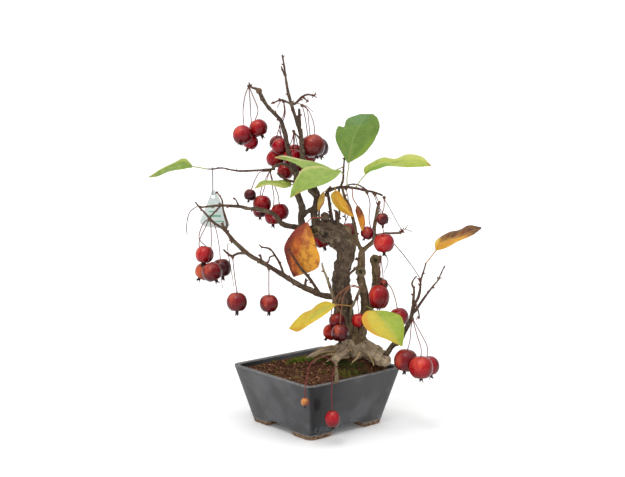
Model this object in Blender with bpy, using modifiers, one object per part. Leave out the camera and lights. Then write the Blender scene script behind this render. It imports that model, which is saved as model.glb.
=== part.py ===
"""Crabapple bonsai in a glazed pot: metres, +Z up, the pot's soles at z = 0."""

import math
import random

import bmesh
import bpy
from mathutils import Matrix, Vector
from mathutils.bvhtree import BVHTree

MM = 0.001
GAP = 0.3  # mm left between pieces that touch

# The pot, in mm: outer sizes along X and Y, and heights.
POT_TOP = (123.0, 126.0)
POT_BASE = (93.0, 97.0)
POT_HEIGHT = 59.0
POT_WALL = 4.5
POT_FLOOR = 14.0
CORNER = 8.0
FOOT = 30.0
ARCH_HEIGHT = 8.0
ARCH_SHOULDER = 4.5
ARCH_FLARE = 4.0
DRAIN_RADIUS = 6.0

# The soil, in mm: its level at the walls and the mound that it makes round the trunk.
SOIL_LEVEL = 54.0
MOUND_HEIGHT = 15.0
MOUND_CENTRE = (16.0, 28.0)
MOUND_SPREAD = 46.0
MOUND_MARGIN = 16.0
SOIL_GRAIN = 0.5
SOIL_CELLS = 14

# The tree is drawn full size on a sheet that stands upright through the trunk. A point of it is
# mm from the sheet's left edge, mm down from its top, and mm nearer to the viewer than the sheet.
VIEW_TURN = math.radians(49.5)
VIEW_RISE = math.radians(7.5)
VIEW_REACH = 1100.0
SHEET_MIDDLE = (312.5, 238.5)
SHEET_CENTRE = Vector((-2.9, -3.4, 188.5))
ACROSS = Vector((math.cos(VIEW_TURN), math.sin(VIEW_TURN), 0.0))
NEARER = Vector((
    math.sin(VIEW_TURN) * math.cos(VIEW_RISE),
    -math.cos(VIEW_TURN) * math.cos(VIEW_RISE),
    math.sin(VIEW_RISE),
))
UPWARD = NEARER.cross(ACROSS)

BARK_UNEVENNESS = 0.07
STALK_RADIUS = 0.6
PETIOLE_RADIUS = 0.75
SPUR_RADIUS = 1.5
SPUR_SCATTER = 0.5
STALK_CLEARANCE = 0.9
APPLE_SIDES = 8
APPLE_DIMPLE = 0.76
APPLE_FOOT = 0.9
CALYX_LENGTH = 3.2
BLADE = 0.7
TOOTH = 0.8
BLADE_WAVE = 0.6
LEAST_HALF_BLADE = 0.5

TAG_THICKNESS = 0.8
TAG_HOLE = 2.0
LOOP_WIRE = 0.4
LOOP_HALF_WIDTH = 2.3
TWIG_RADIUS = 1.1

WOOD = (0.16, 0.115, 0.085, 1.0)
SOIL = (0.19, 0.1, 0.055, 1.0)
GLAZE = (0.02, 0.021, 0.025, 1.0)
APPLE_RED = (0.48, 0.02, 0.03, 1.0)
LABEL = (0.8, 0.87, 0.84, 1.0)
TIE = (0.03, 0.03, 0.035, 1.0)
GREEN = (0.26, 0.42, 0.1, 1.0)
YELLOW = (0.75, 0.62, 0.12, 1.0)
ORANGE = (0.7, 0.28, 0.06, 1.0)

# The trunk and the roots that the soil is pressed against: (across, down, near, radius) from the soil up.
TRUNK = (
    (356, 374, -29, 9), (356, 362, -27, 14), (357, 352, -25, 16), (354, 343, -23, 14), (350, 334, -21, 12),
    (346, 322, -19, 10.5), (343.5, 310, -17, 9.7), (342.3, 298, -15, 10.4), (341, 283, -12, 9.2),
    (341.5, 270, -10, 8.9), (345, 259, -8, 8.8), (346, 249, -6, 10.4), (342, 240, -4, 13),
    (333, 233, -2, 12.5),
    (322, 230.5, 0, 10.5), (311, 230.5, 1, 9),
)
ROOTS = (
    ((360, 347, -20, 11), (368, 350.5, -13, 9.5), (376, 354.5, -6, 9), (383, 359, 2, 8), (388, 362, 9, 7)),
    ((346, 348, -24, 8), (333, 350.5, -27, 5.2), (320, 353.5, -30, 4.4), (311, 357.5, -33, 3.2),
     (303, 363, -36, 2)),
    ((358, 349, -32, 9), (353, 351, -43, 5.5), (348, 355, -54, 3), (345, 360, -62, 1.8)),
    ((354, 350, -20, 8), (360, 360, -18, 6), (366, 370, -14, 3.5), (370, 378, -10, 2)),
)
# Low stubs that the soil touches: (across, down, near, radius).
LOW_STUBS = (
    ((357, 352, -18, 7), (356, 358, -6, 5.5)),
    ((348, 349, -16, 6), (341, 354, 2, 4.6), (336, 359, 17, 3.8), (335.5, 361, 24, 3)),
)
# Limbs, branches and twigs: sides, near at both ends, radius at both ends, then points (across, down).
BRANCHES = (
    # Two limbs beside the trunk, their forks and the twig that crosses between them.
    (8, (-20, -10), (5.2, 3.8), (
        (355, 346), (360, 330), (365, 310), (364, 292), (361, 280), (361, 270), (362, 250))),
    (8, (-26, -16), (5.5, 4.2), ((359, 342), (366, 315), (372, 300), (376, 285), (376, 270), (374, 259))),
    (6, (-10, 8), (2.3, 1.4), (
        (362, 252), (357, 240), (355, 228), (352, 215), (349, 205), (345, 198), (342, 187))),
    (6, (-10, 2), (2.6, 1.6), (
        (362, 251), (368, 246), (374, 240), (374, 230), (376, 218), (378, 207), (380, 200.5))),
    (6, (-5, 4), (1.5, 1.0), ((374, 236), (385, 233.5), (398, 233), (403, 232))),
    (4, (3, 5), (0.9, 0.7), ((401, 232.5), (405, 229), (408, 225))),
    (4, (-9, -10), (1.4, 1.4), ((348, 275), (354, 270), (361, 264))),
    (4, (-10, -8), (1.0, 0.8), ((362, 263), (356, 259))),
    (4, (-11, -8), (1.0, 0.8), ((361, 280), (355.5, 279))),
    (4, (-1, 13), (0.7, 0.7), ((388, 233.5), (392, 241), (402, 253), (412, 266), (420.5, 279))),
    # The long branch to the lower left with its twigs.
    (6, (-12, 34), (4.0, 2.2), (
        (342, 299), (334, 297), (321, 295), (310, 290), (300, 285.5), (291, 280), (283, 275),
        (270, 267), (258, 260),
        (250, 255.5), (240, 247), (232, 239), (226, 231), (222, 227))),
    (6, (34, 41), (1.7, 0.8), ((224, 229), (213, 222), (205, 213), (200, 208), (195, 201.5))),
    (6, (33, 29), (1.5, 0.8), ((226, 230), (227, 224), (225, 216), (223, 208), (222, 200), (217, 192))),
    (4, (33, 38), (1.5, 1.2), ((226, 229), (221, 223))),
    (4, (31, 34), (1.4, 1.2), ((230, 237), (232, 243.5))),
    (6, (25, 32), (2.0, 1.2), ((246, 253), (238, 253.5), (232, 256), (227, 253), (223, 249))),
    (6, (10, 16), (1.7, 0.9), ((284, 275), (280, 264), (275, 255.5), (270, 249), (262, 247), (259, 244.5))),
    (4, (13, 17), (1.0, 0.9), ((275, 255.5), (270, 257), (269, 261))),
    (4, (19, 22), (1.6, 1.2), ((262, 262), (260, 254))),
    (4, (1, 4), (1.8, 1.3), ((305, 287), (306, 278))),
    (6, (-3, 17), (2.2, 1.3), ((320, 294), (310, 279), (300, 267), (291, 253), (289, 250))),
    # The branch to the upper left.
    (6, (-1, -28), (3.9, 1.3), (
        (311, 229), (295, 227), (285, 225), (280, 222), (275, 215), (268, 212), (258, 209), (248, 208.5),
        (240, 206.5), (232, 206), (223, 205.5), (212, 206), (200, 207.5))),
    (4, (-19, -17), (1.1, 0.9), ((239, 206.5), (235.5, 199))),
    (4, (-23, -22), (1.2, 1.0), ((221, 205.5), (212, 215), (210, 217.5))),
    (4, (-28, -27), (0.9, 0.7), (
        (201, 207.5), (198, 206), (190, 212), (187, 222), (186.5, 230), (187.5, 235))),
    # Two leaders above the head, joined low down, and the spurs of the fruit.
    (8, (0, -6), (4.6, 3.4), ((304, 233), (301, 218), (302, 208), (299, 198), (296, 188), (297, 171))),
    (8, (0, 0), (4.8, 3.4), (
        (318, 236), (314, 215), (316, 205), (317, 195), (313, 186), (308, 172), (303, 157))),
    (6, (-2, 1), (2.8, 2.8), ((300, 219), (307, 212), (314, 208))),
    (6, (1, 4), (3.4, 2.8), ((316, 196), (308, 189))),
    (6, (-6, -24), (3.3, 2.2), (
        (297, 174), (290, 158), (288, 150), (286, 138), (284, 130), (281, 121), (275, 114),
        (268, 107), (262, 98))),
    (6, (-23, -27), (3.4, 0.8), ((263, 100), (258, 90), (251, 87), (248.5, 81.5))),
    (6, (0, 8), (3.4, 1.0), (
        (303, 159), (302, 148), (301, 135), (298, 124), (294, 113), (291, 103), (288, 92), (286, 80),
        (284, 65),
        (282, 54))),
    (4, (6, 8), (1.2, 0.8), ((285, 76), (281, 66))),
    (6, (2, 5), (2.0, 1.7), ((300, 126), (299, 108))),
    (4, (1, 5), (1.4, 0.9), ((301, 140), (294, 132))),
    (4, (3, 9), (1.8, 0.9), ((292, 104), (296, 103), (302, 97), (308, 94.5), (314, 96))),
    (4, (6, 9), (0.9, 0.8), ((302, 97), (307, 100.5))),
    (4, (3, -16), (1.6, 0.8), ((291, 104), (287, 102), (281, 100), (274, 102.5))),
    (6, (-5, -18), (2.4, 1.8), ((298, 179), (290, 168), (284, 164), (277, 165), (271, 170))),
    (4, (-4, -15), (1.6, 1.3), ((295, 182), (285, 179), (277, 173))),
    (6, (-17, -38), (1.5, 0.9), (
        (275, 169), (255, 170.5), (240, 171), (232, 170), (222, 168), (213, 169), (207, 169))),
    # The crown: two risers, the arch to the right and the upright twig.
    (6, (2, 7), (2.4, 1.8), ((333, 226), (331, 214), (329, 200), (328, 190), (333, 188))),
    (6, (6, 15), (1.9, 1.2), (
        (329, 191), (336, 188), (345, 187), (357, 188.5), (365, 190.5), (373, 192), (383, 195.5))),
    (4, (8, 5), (1.4, 1.4), ((339, 188), (339.5, 212), (338, 224))),
    (6, (3, 5), (2.8, 2.2), ((338, 226), (336, 210))),
    (4, (5, 3), (1.4, 1.2), ((328, 190), (320, 205), (319, 221))),
    (4, (8, 9), (1.5, 1.1), ((340, 188), (343, 180), (343.5, 170), (344.5, 157))),
    (4, (9, 12), (0.9, 0.9), ((343, 187.5), (350, 184.5), (357, 184.5), (362, 187), (368, 191))),
    # Shoots from the foot of the trunk.
    (6, (-11, 9), (2.0, 0.9), (
        (350, 335), (345, 320), (338, 310), (334, 300), (328, 281), (323, 268), (322, 262))),
    (6, (-13, -2), (1.5, 1.0), ((351, 331), (351, 310), (354, 303), (359, 292), (362, 283))),
    (4, (22, 57), (1.2, 1.5), ((336, 361), (336, 368), (336.5, 376), (336, 383))),
    # The outer branch that rises from the right root.
    (6, (5, 16), (3.6, 2.3), (
        (383, 358), (388, 352), (393, 345), (398, 343), (403, 335), (408, 325), (411, 318),
        (413, 308), (415, 300))),
    (6, (15, 20), (1.9, 0.9), ((413, 304), (414, 290), (412, 284), (414, 279), (417, 276))),
    (6, (16, 11), (1.9, 0.8), ((415, 303), (418, 298), (420, 290), (421, 280), (424, 270), (426, 263))),
    (6, (14, 5), (2.0, 0.9), (
        (411, 315), (416, 310), (420, 304), (427, 294), (434, 285), (438, 280), (445, 265))),
    (4, (7, 9), (0.9, 0.7), ((437, 281), (442, 277))),
    (4, (17, 24), (1.2, 0.9), ((414, 302), (418, 310), (419.5, 318))),
)
# Burrs and ringed scars where wood was cut: (across, down, near, radius).
BURRS = (
    (325, 235, 7, 7.5), (346, 231, 5, 6), (361, 272, -8, 5.2), (375, 260, -14, 5.6), (325, 217, 4, 5),
    (386, 361, 12, 5), (364, 291, -9, 4), (259, 91, -24, 3.3), (346, 300, -8, 4), (338, 285, -6, 4),
)

# Bunches: the spur (across, down, near), then each apple as its centre (across, down, near), radius,
# the place (across, down) that its calyx points to, and the stalk's way (across, down), with near
# only where the stalk doesn't lean out evenly.
BUNCHES = {
    "fruit_crown_left": ((249, 86, -27), (
        ((242.5, 135, -19), 9.3, (241, 143), ((245, 96), (243, 112))),
        ((258.5, 128, -28), 8.7, (263, 138), ((253, 96), (258, 110))),
        ((250.5, 142, -35), 7.5, (247, 150), ((250, 100), (251, 118))),
    )),
    "fruit_leader_left": ((284, 102, -8), (
        ((281, 147, -27), 8, (281, 157), ((285, 113), (281, 128))),
        ((278, 144, -44), 7.5, (272, 152), ((284, 113), (279, 128))),
        ((275.5, 159, -37), 8, (273, 169), ((285, 115), (277, 135))),
    )),
    "fruit_between_leaders": ((294, 131, 5), (
        ((295, 151, -39), 6, (295, 159), ((295, 136),)),
        ((293, 158, -20), 8, (293, 168), ((293.5, 140),)),
        ((297, 165, -35), 7, (297, 174), ((296, 138), (298, 150))),
        ((285.5, 171.5, -26), 7, (285, 180), ((292, 140), (286, 155))),
    )),
    "fruit_leader_right": ((302, 106, 6), (
        ((313, 146, -8), 10, (317, 159), ((307, 109), (309, 125))),
        ((318, 148, -28), 9, (322, 158), ((309, 111), (314, 125))),
        ((308, 157, -39), 7, (308, 166), ((304, 112), (307, 130))),
    )),
    "fruit_middle_left": ((270, 171, -20), (
        ((250, 195, -24), 5.8, (248, 203), ((260, 172), (255, 180))),
        ((262, 204, -31), 8.8, (262, 215), ((268, 176), (265, 186))),
        ((260, 211, -53), 7, (260, 219), ((266, 178), (261, 190))),
        ((280, 212, -27), 8.5, (281, 222), ((274, 184), (278, 195))),
        ((273, 217, -43), 8, (273, 226), ((272, 184), (274, 198))),
    )),
    "fruit_outer_left": ((210, 218.5, -22), (
        ((204.5, 254.5, -13), 8.7, (203, 264), ((203, 224), (199, 238))),
        ((204, 271.5, -21), 8.5, (199, 279), ((206, 226), (199, 245))),
        ((212, 272, -2), 9.5, (217, 282), ((211, 228), (211, 248))),
        ((221.5, 268, -25), 9.3, (223, 279), ((215, 226), (219, 245))),
    )),
    "fruit_low_left": ((233, 258, 31), (((237, 302, 34), 9.9, (237, 314), ((235, 275),)),)),
    "fruit_low_middle": ((268.5, 270, 17), (((269, 303.5, 20), 8.6, (269, 314), ((268.5, 285),)),)),
    "fruit_dried": ((384, 197.5, 15), (((382.5, 219, 25), 6, (383, 226), ((385.5, 208),)),)),
    "fruit_right_front": ((375, 194.5, 14), (((384, 243, 13), 9.5, (384, 255), ((379, 204), (381, 220))),)),
    "fruit_right_inner": ((367, 192.5, 13), (((367.5, 233, 6), 6.3, (363, 241), ((370, 203), (369, 218))),)),
    "fruit_behind_head": ((346, 188.5, 8), (((347, 233, -31), 10, (350, 244), ((348, 198), (349, 212))),)),
    "fruit_head_left": ((327, 216, -6), (((322, 239, -21), 9, (325, 249), ((323, 222),)),)),
    "fruit_limb_right": ((379, 258, -12), (
        ((379, 297, -4), 9.8, (379, 309), ((379.5, 270),)),
        ((384, 284, -5), 3.8, (385, 289), ((383, 268),)),
    )),
    "fruit_limb_far": ((381, 279, -16), (((399, 317, -12), 9, (401, 327), ((390, 286), (395, 298))),)),
    "fruit_limb_near": ((357, 298, -2), (((359, 320.5, 1), 7, (359, 329), ((359, 306),)),)),
    "fruit_trunk_front": ((361, 288, 0), (
        ((337, 321, 3), 7.5, (338, 330), ((352, 285, 2), (342, 292, 3), (338, 306, 4))),
        ((331, 332, -6), 7.5, (326, 339), ((350, 287, 3), (338, 295, 6), (331, 314, 2))),
        ((340, 333, 16), 8, (340, 342), ((353, 286), (344, 295), (341, 312))),
    )),
    "fruit_low_right": ((415, 320, 18), (
        ((406, 360.5, 17), 11, (404, 374), ((411, 328), (410, 340))),
        ((421, 367.5, 33), 11, (421, 382), ((417, 335), (421, 348))),
        ((429, 366, 10), 9.5, (431, 376), ((420, 332), (427, 346))),
    )),
    "fruit_over_rim": ((336, 364, 27), (
        ((305, 402, 79), 4, (305, 407), ((325, 357), (312, 362), (306, 380))),
        ((332.5, 419, 58), 7.2, (333, 428), ((333, 374, 53), (331.5, 392, 57))),
    )),
}

# Leaves: colour, stalk (across, down, near) from the wood up, then one edge, the rib and the other edge.
LEAVES = {
    "leaf_far_left": (GREEN, ((206, 169, -38), (199, 167.5, -40)), (
        ((192, 165, -43), (186, 159.5, -49), (180, 159, -52), (172, 163, -52), (164, 168, -50),
         (148.5, 177, -45)),
        ((192, 166.5, -43), (184, 164.5, -43), (178, 165.5, -43), (170, 168, -43), (161, 172, -43),
         (149, 177, -44)),
        ((192, 168, -43), (184, 168.5, -36), (177, 169.5, -32), (168, 172.5, -32), (160, 175.5, -36),
         (149, 177.5, -44)),
    )),
    "leaf_left_narrow": (GREEN, ((298, 186, -11),), (
        ((291, 182, -12), (286, 180.5, -13), (279, 180, -14), (270, 180, -14), (262, 181.5, -12),
         (255, 187.5, -8)),
        ((291, 184.5, -10), (285.5, 183.5, -7), (278, 183, -5), (270, 183, -4), (262, 184.5, -4),
         (255, 188, -6)),
        ((290.5, 187, -8), (285.5, 187.5, 0), (278, 186.5, 4), (270, 185.5, 5), (262, 186.5, 2),
         (255, 188.5, -5)),
    )),
    "leaf_big_front": (GREEN, ((342, 174, 11),), (
        ((341, 170.5, 14), (330, 169.5, 13), (318, 166, 13), (304, 167.5, 15), (297, 177, 16),
         (292.5, 188, 17),
         (290, 197, 18)),
        ((341, 171.5, 15), (331, 173.5, 17), (321, 176.5, 20), (311, 181, 22), (303, 186, 22),
         (297, 191.5, 21),
         (290, 197.5, 19)),
        ((341, 172.5, 16), (335, 178, 22), (326, 183, 27), (318, 186.5, 30), (309, 189.5, 30),
         (299, 193, 26),
         (290.5, 198, 20)),
    )),
    "leaf_big_back": (GREEN, ((341.5, 167, 8), (337, 169.5, 4)), (
        ((333, 169.5, 5), (324, 165.5, 3), (313, 161.5, 4), (302, 159, 6), (292, 157, 4), (283, 156, 0),
         (275, 157, -6)),
        ((333, 171, 6), (323, 169, 8), (313, 167, 9), (303, 164, 9), (294, 160.8, 7), (285, 158.6, 3),
         (275, 157.5, -5)),
        ((332, 173.5, 5), (322, 174, 8), (312, 173, 10), (303, 168.5, 11), (294, 163.5, 9), (285, 160, 4),
         (275, 158, -4)),
    )),
    "leaf_top": (GREEN, ((347, 185.5, 11), (347, 178, 13), (348.5, 168, 14)), (
        ((347.5, 163, 13), (340, 150, 8), (335.5, 138, 6), (338, 126.5, 6), (344, 127, 8), (347, 119.5, 7),
         (360, 114, 6)),
        ((349, 163, 14), (350, 152, 14), (352, 143, 15), (354.5, 135, 15), (358, 128, 14),
         (362, 121, 12), (367, 114, 9)),
        ((350.5, 162, 13), (363, 154.5, 6), (371.5, 145, 3), (376.5, 136, 2), (379.5, 127, 3),
         (377.5, 118, 5), (373, 114, 8)),
    )),
    "leaf_right": (GREEN, ((355.5, 187, 13), (360, 181, 14)), (
        ((365, 174, 14), (364.5, 169, 7), (370, 164, 2), (383, 157, -2), (395, 158, -3), (407, 154.5, -2),
         (421, 157, 2), (431, 165, 8)),
        ((365.5, 174.5, 15), (368, 169.5, 14), (375, 165.5, 13), (385, 162.5, 12), (396, 162.5, 11),
         (408, 161, 10),
         (421, 162, 9), (431, 165.5, 9)),
        ((366.5, 175, 16), (371, 171, 21), (377, 168.5, 25), (386, 166, 27), (396, 167, 26),
         (407, 167.8, 23),
         (420, 166.5, 17), (431, 166, 10)),
    )),
    "leaf_centre_yellow": (YELLOW, ((335, 188.5, 9),), (
        ((334.5, 191, 12), (331, 195, 10), (332, 201, 9), (336, 207, 9), (342, 212, 10),
         (348, 215, 11), (353, 217, 13)),
        ((336, 191, 13), (336, 196, 14), (338, 201, 15), (341, 205.5, 16), (345, 209.5, 16),
         (349, 213, 15), (353.3, 216.8, 14)),
        ((338, 191, 12), (341, 193.5, 10), (343.5, 198, 9), (346.5, 202.5, 9), (349.5, 206.5, 10),
         (352, 211, 12), (353.8, 216.5, 14)),
    )),
    "leaf_centre_brown": (ORANGE, ((352, 190, 12), (353, 198, 14)), (
        ((356.5, 206, 13), (355.5, 211, 12), (357, 216, 11), (358.5, 221, 11), (360, 226, 12),
         (362, 231, 13)),
        ((357.5, 206, 14), (359, 211, 15), (360.5, 216, 16), (361.5, 221, 16), (362, 226, 15),
         (362.4, 231, 14)),
        ((359, 206.5, 13), (362, 210.5, 12), (364, 215.5, 11), (365, 221, 11), (364.7, 226, 12),
         (362.8, 231, 13)),
    )),
    "leaf_small_tan": (YELLOW, ((326, 189.5, 9),), (
        ((322.5, 192.5, 11), (319.5, 196.5, 11), (318, 201.5, 11), (317.3, 206, 11), (318, 211, 12)),
        ((323.2, 192.5, 12), (322.3, 197, 13), (321, 201.5, 14), (319.7, 206, 13), (318.4, 211, 12.5)),
        ((324.2, 193, 11), (325, 197, 10), (324.2, 202, 10), (321.8, 206.5, 11), (318.9, 211, 12)),
    )),
    "leaf_orange": (ORANGE, ((319, 216.5, 9), (312, 218, 13)), (
        ((305.5, 222.5, 14), (296, 228.5, 12), (289, 237, 9), (284, 247.5, 5), (286, 258, 3),
         (289.5, 268, 2), (293, 276.5, 1)),
        ((307, 222.5, 15), (305, 232, 13), (303, 242, 10), (301, 252, 7), (299, 261, 4),
         (296.5, 269.5, 2), (294, 277, 1)),
        ((308.5, 223, 14), (312.5, 234, 12), (316, 246, 11), (320, 257, 10), (318.5, 266.5, 8),
         (311, 271.5, 5), (296, 276.5, 1.5)),
    )),
    "leaf_outer_right": (YELLOW, ((428, 260.5, 12), (432, 255.5, 13)), (
        ((435.5, 250, 13), (435.5, 243, 7), (440, 237.5, 3), (449, 231.5, 0), (460, 229.5, 0),
         (469, 226, 2), (481, 227, 7)),
        ((436, 250.5, 14), (440, 245.5, 13), (445.5, 241.5, 12), (453, 238, 11), (462, 235, 10),
         (471, 231.5, 9), (481.3, 227.8, 8)),
        ((437, 251, 15), (442, 249, 20), (448, 246.2, 24), (455, 243.2, 25), (463, 240, 23),
         (471.5, 235.5, 18), (481.5, 228.5, 9)),
    )),
    "leaf_low_left": (YELLOW, ((349, 306, -2), (342, 305, 6)), (
        ((334.5, 304, 12), (326, 302, 7), (317.5, 304.5, 5), (311, 309, 5), (303, 313, 7),
         (296, 320.5, 11), (289, 328, 16)),
        ((335, 305, 13), (327.5, 307, 15), (320, 310.5, 17), (312.5, 315.5, 18), (305, 320.5, 18),
         (297, 325.5, 18), (289, 328.5, 17)),
        ((335, 306.5, 12), (330, 310.5, 16), (323, 315.5, 20), (315, 321.5, 22), (307, 327, 23),
         (298, 331.5, 22), (289.5, 329.2, 18)),
    )),
    "leaf_low_right": (GREEN, ((366, 306, -9), (370, 308, 0)), (
        ((375, 311, 9), (367, 311.5, 12), (361.8, 318, 15), (365, 327, 17), (374, 334.5, 19),
         (387, 339.5, 20),
         (401, 346, 21)),
        ((375.8, 311.3, 9), (380, 316, 12), (385, 321.5, 16), (390, 328, 19), (394.5, 334, 21),
         (398, 340, 22),
         (401.8, 346.5, 21)),
        ((377, 311, 9), (386, 310.7, 8), (394, 312.5, 8), (401, 316.5, 11), (404, 325.5, 17), (404, 335, 20),
         (402.6, 346, 21)),
    )),
}

# The label: its corners on the sheet, the hole, how near it hangs, and the twig that its loop goes round.
TAG_OUTLINE = (
    (213.5, 188.5), (211, 195), (208, 203), (200.3, 221), (200.6, 224), (205, 227), (217, 228.6),
    (228, 228.4),
    (230.3, 225.5), (222, 203), (217, 193),
)
TAG_HOLE_AT = (213.6, 197.0)
TAG_NEAR = -36.5
LOOP_TWIG_AT = (212.6, 169.0)


def seen(point):
    """The place, in metres, of a point of the sheet."""
    across, down, near = point[:3]
    offset = ACROSS * (across - SHEET_MIDDLE[0]) + UPWARD * (SHEET_MIDDLE[1] - down)
    return (SHEET_CENTRE + NEARER * near + offset * (1 - near / VIEW_REACH)) * MM


def clear_scene():
    for obj in list(bpy.data.objects):
        bpy.data.objects.remove(obj, do_unlink=True)


def new_collection(name):
    collection = bpy.data.collections.new(name)
    bpy.context.scene.collection.children.link(collection)
    return collection


def material(name, colour, roughness, metallic=0.0):
    result = bpy.data.materials.new(name)
    result.use_nodes = True
    shader = result.node_tree.nodes["Principled BSDF"]
    shader.inputs["Base Color"].default_value = colour
    shader.inputs["Roughness"].default_value = roughness
    shader.inputs["Metallic"].default_value = metallic
    return result


def object_of(name, mesh, collection):
    obj = bpy.data.objects.new(name, mesh)
    collection.objects.link(obj)
    return obj


def evaluated_mesh(obj):
    bpy.context.view_layer.update()
    graph = bpy.context.evaluated_depsgraph_get()
    return bpy.data.meshes.new_from_object(obj.evaluated_get(graph))


def mesh_of(bm, name):
    mesh = bpy.data.meshes.new(name)
    bm.to_mesh(mesh)
    bm.free()
    return mesh


def apply_modifiers(obj):
    mesh = evaluated_mesh(obj)
    obj.modifiers.clear()
    obj.data = mesh


def boolean(obj, operation, pieces, solver="EXACT"):
    """Joins or cuts an object by the pieces, which are removed afterwards."""
    group = new_collection(obj.name + "_" + operation.lower())
    for piece in pieces:
        for collection in list(piece.users_collection):
            collection.objects.unlink(piece)
        group.objects.link(piece)
        piece.hide_render = True
        piece.display_type = "WIRE"
    modifier = obj.modifiers.new(operation.title(), "BOOLEAN")
    modifier.operation = operation
    modifier.operand_type = "COLLECTION"
    modifier.collection = group
    modifier.solver = solver
    apply_modifiers(obj)
    for piece in pieces:
        bpy.data.objects.remove(piece, do_unlink=True)
    bpy.data.collections.remove(group)
    return obj


def tube(name, points, radii, sides, collection, cyclic=False):
    """A closed tube along points, in metres, whose radius changes from point to point."""
    curve = bpy.data.curves.new(name, "CURVE")
    curve.dimensions = "3D"
    curve.bevel_depth = 1.0
    curve.bevel_resolution = sides // 2 - 2
    curve.use_fill_caps = not cyclic
    spline = curve.splines.new("POLY")
    spline.points.add(len(points) - 1)
    spline.use_cyclic_u = cyclic
    for knot, point, radius in zip(spline.points, points, radii):
        knot.co = (*point, 1.0)
        knot.radius = radius
    path = bpy.data.objects.new(name + "_path", curve)
    collection.objects.link(path)
    bm = bmesh.new()
    mesh = evaluated_mesh(path)
    bm.from_mesh(mesh)
    bmesh.ops.remove_doubles(bm, verts=bm.verts, dist=1e-6)
    bmesh.ops.recalc_face_normals(bm, faces=bm.faces)
    obj = object_of(name, mesh_of(bm, name), collection)
    obj.matrix_world = path.matrix_world
    bpy.data.objects.remove(path, do_unlink=True)
    bpy.data.meshes.remove(mesh)
    return obj


def ball(name, centre, radius, collection, level=2):
    bm = bmesh.new()
    bmesh.ops.create_icosphere(bm, subdivisions=level, radius=radius, matrix=Matrix.Translation(centre))
    return object_of(name, mesh_of(bm, name), collection)


def eased_between(a, b, c, d, t):
    """The point at t, from 0 at b to 1 at c, of a Catmull-Rom curve through four points."""
    bend = (2 * a - 5 * b + 4 * c - d) * t**2 + (3 * b - a - 3 * c + d) * t**3
    return 0.5 * (2 * b + (c - a) * t + bend)


def smooth_way(points, count):
    """Points spread evenly in length on a Catmull-Rom curve through the given ones."""
    ends = [points[0] * 2 - points[1], *points, points[-1] * 2 - points[-2]]
    fine = []
    steps = 8
    for a, b, c, d in zip(ends, ends[1:], ends[2:], ends[3:]):
        for step in range(steps):
            fine.append(eased_between(a, b, c, d, step / steps))
    fine.append(points[-1])
    lengths = [0.0]
    for before, after in zip(fine, fine[1:]):
        lengths.append(lengths[-1] + (after - before).length)
    result = []
    index = 0
    for number in range(count):
        target = lengths[-1] * number / (count - 1)
        while index < len(fine) - 2 and lengths[index + 1] < target:
            index += 1
        span = max(lengths[index + 1] - lengths[index], 1e-9)
        result.append(fine[index].lerp(fine[index + 1], (target - lengths[index]) / span))
    return result


def tapered_block(name, base, top, bottom_height, top_height, corner, collection):
    """A block whose four walls lean, with rounded upright corners; sizes in mm."""
    bm = bmesh.new()
    bmesh.ops.create_cube(bm, size=2)
    for vert in bm.verts:
        size = top if vert.co.z > 0 else base
        height = top_height if vert.co.z > 0 else bottom_height
        vert.co = Vector((vert.co.x * size[0] / 2, vert.co.y * size[1] / 2, height)) * MM
    upright = [edge for edge in bm.edges if abs(edge.verts[0].co.z - edge.verts[1].co.z) > MM]
    bmesh.ops.bevel(bm, geom=upright, offset=corner * MM, segments=4, profile=0.5, affect="EDGES")
    return object_of(name, mesh_of(bm, name), collection)


def arch_cutter(name, length, width, turn, collection):
    """A channel under the pot from side to side, with round shoulders, wider at the ground."""
    bm = bmesh.new()
    bmesh.ops.create_cube(bm, size=2)
    for vert in bm.verts:
        height = ARCH_HEIGHT if vert.co.z > 0 else -5
        half = width / 2 + ARCH_FLARE * (ARCH_HEIGHT - height) / ARCH_HEIGHT
        vert.co = Vector((vert.co.x * length / 2, vert.co.y * half, height)) * MM
    shoulders = [edge for edge in bm.edges if all(v.co.z > 0 for v in edge.verts) and abs(
        edge.verts[0].co.x - edge.verts[1].co.x) > MM]
    bmesh.ops.bevel(bm, geom=shoulders, offset=ARCH_SHOULDER * MM, segments=3, profile=0.5, affect="EDGES")
    bmesh.ops.rotate(bm, verts=bm.verts, matrix=Matrix.Rotation(turn, 3, "Z"))
    return object_of(name, mesh_of(bm, name), collection)


def inner_size(height, inset):
    """The pot's size along X and Y at a height, less an inset at each side."""
    share = height / POT_HEIGHT
    return tuple(low + (high - low) * share - 2 * inset for low, high in zip(POT_BASE, POT_TOP))


def make_pot(parts, cutters):
    pot = tapered_block("pot", POT_BASE, POT_TOP, 0, POT_HEIGHT, CORNER, parts)
    above = POT_HEIGHT + 2
    hollow = tapered_block(
        "pot_hollow", inner_size(POT_FLOOR, POT_WALL), inner_size(above, POT_WALL), POT_FLOOR, above,
        CORNER - POT_WALL / 2, cutters)
    arch_x = arch_cutter("pot_arch_x", POT_TOP[0] * 1.2, POT_BASE[1] - 2 * FOOT, 0, cutters)
    arch_y = arch_cutter("pot_arch_y", POT_TOP[1] * 1.2, POT_BASE[0] - 2 * FOOT, math.pi / 2, cutters)
    bm = bmesh.new()
    radius = DRAIN_RADIUS * MM
    bmesh.ops.create_cone(
        bm, cap_ends=True, segments=24, radius1=radius, radius2=radius, depth=4 * POT_FLOOR * MM)
    drain = object_of("pot_drain", mesh_of(bm, "pot_drain"), cutters)
    boolean(pot, "DIFFERENCE", [hollow, arch_x, arch_y, drain])
    pot.data.materials.append(material("pot glaze", GLAZE, 0.15))
    return pot


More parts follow.
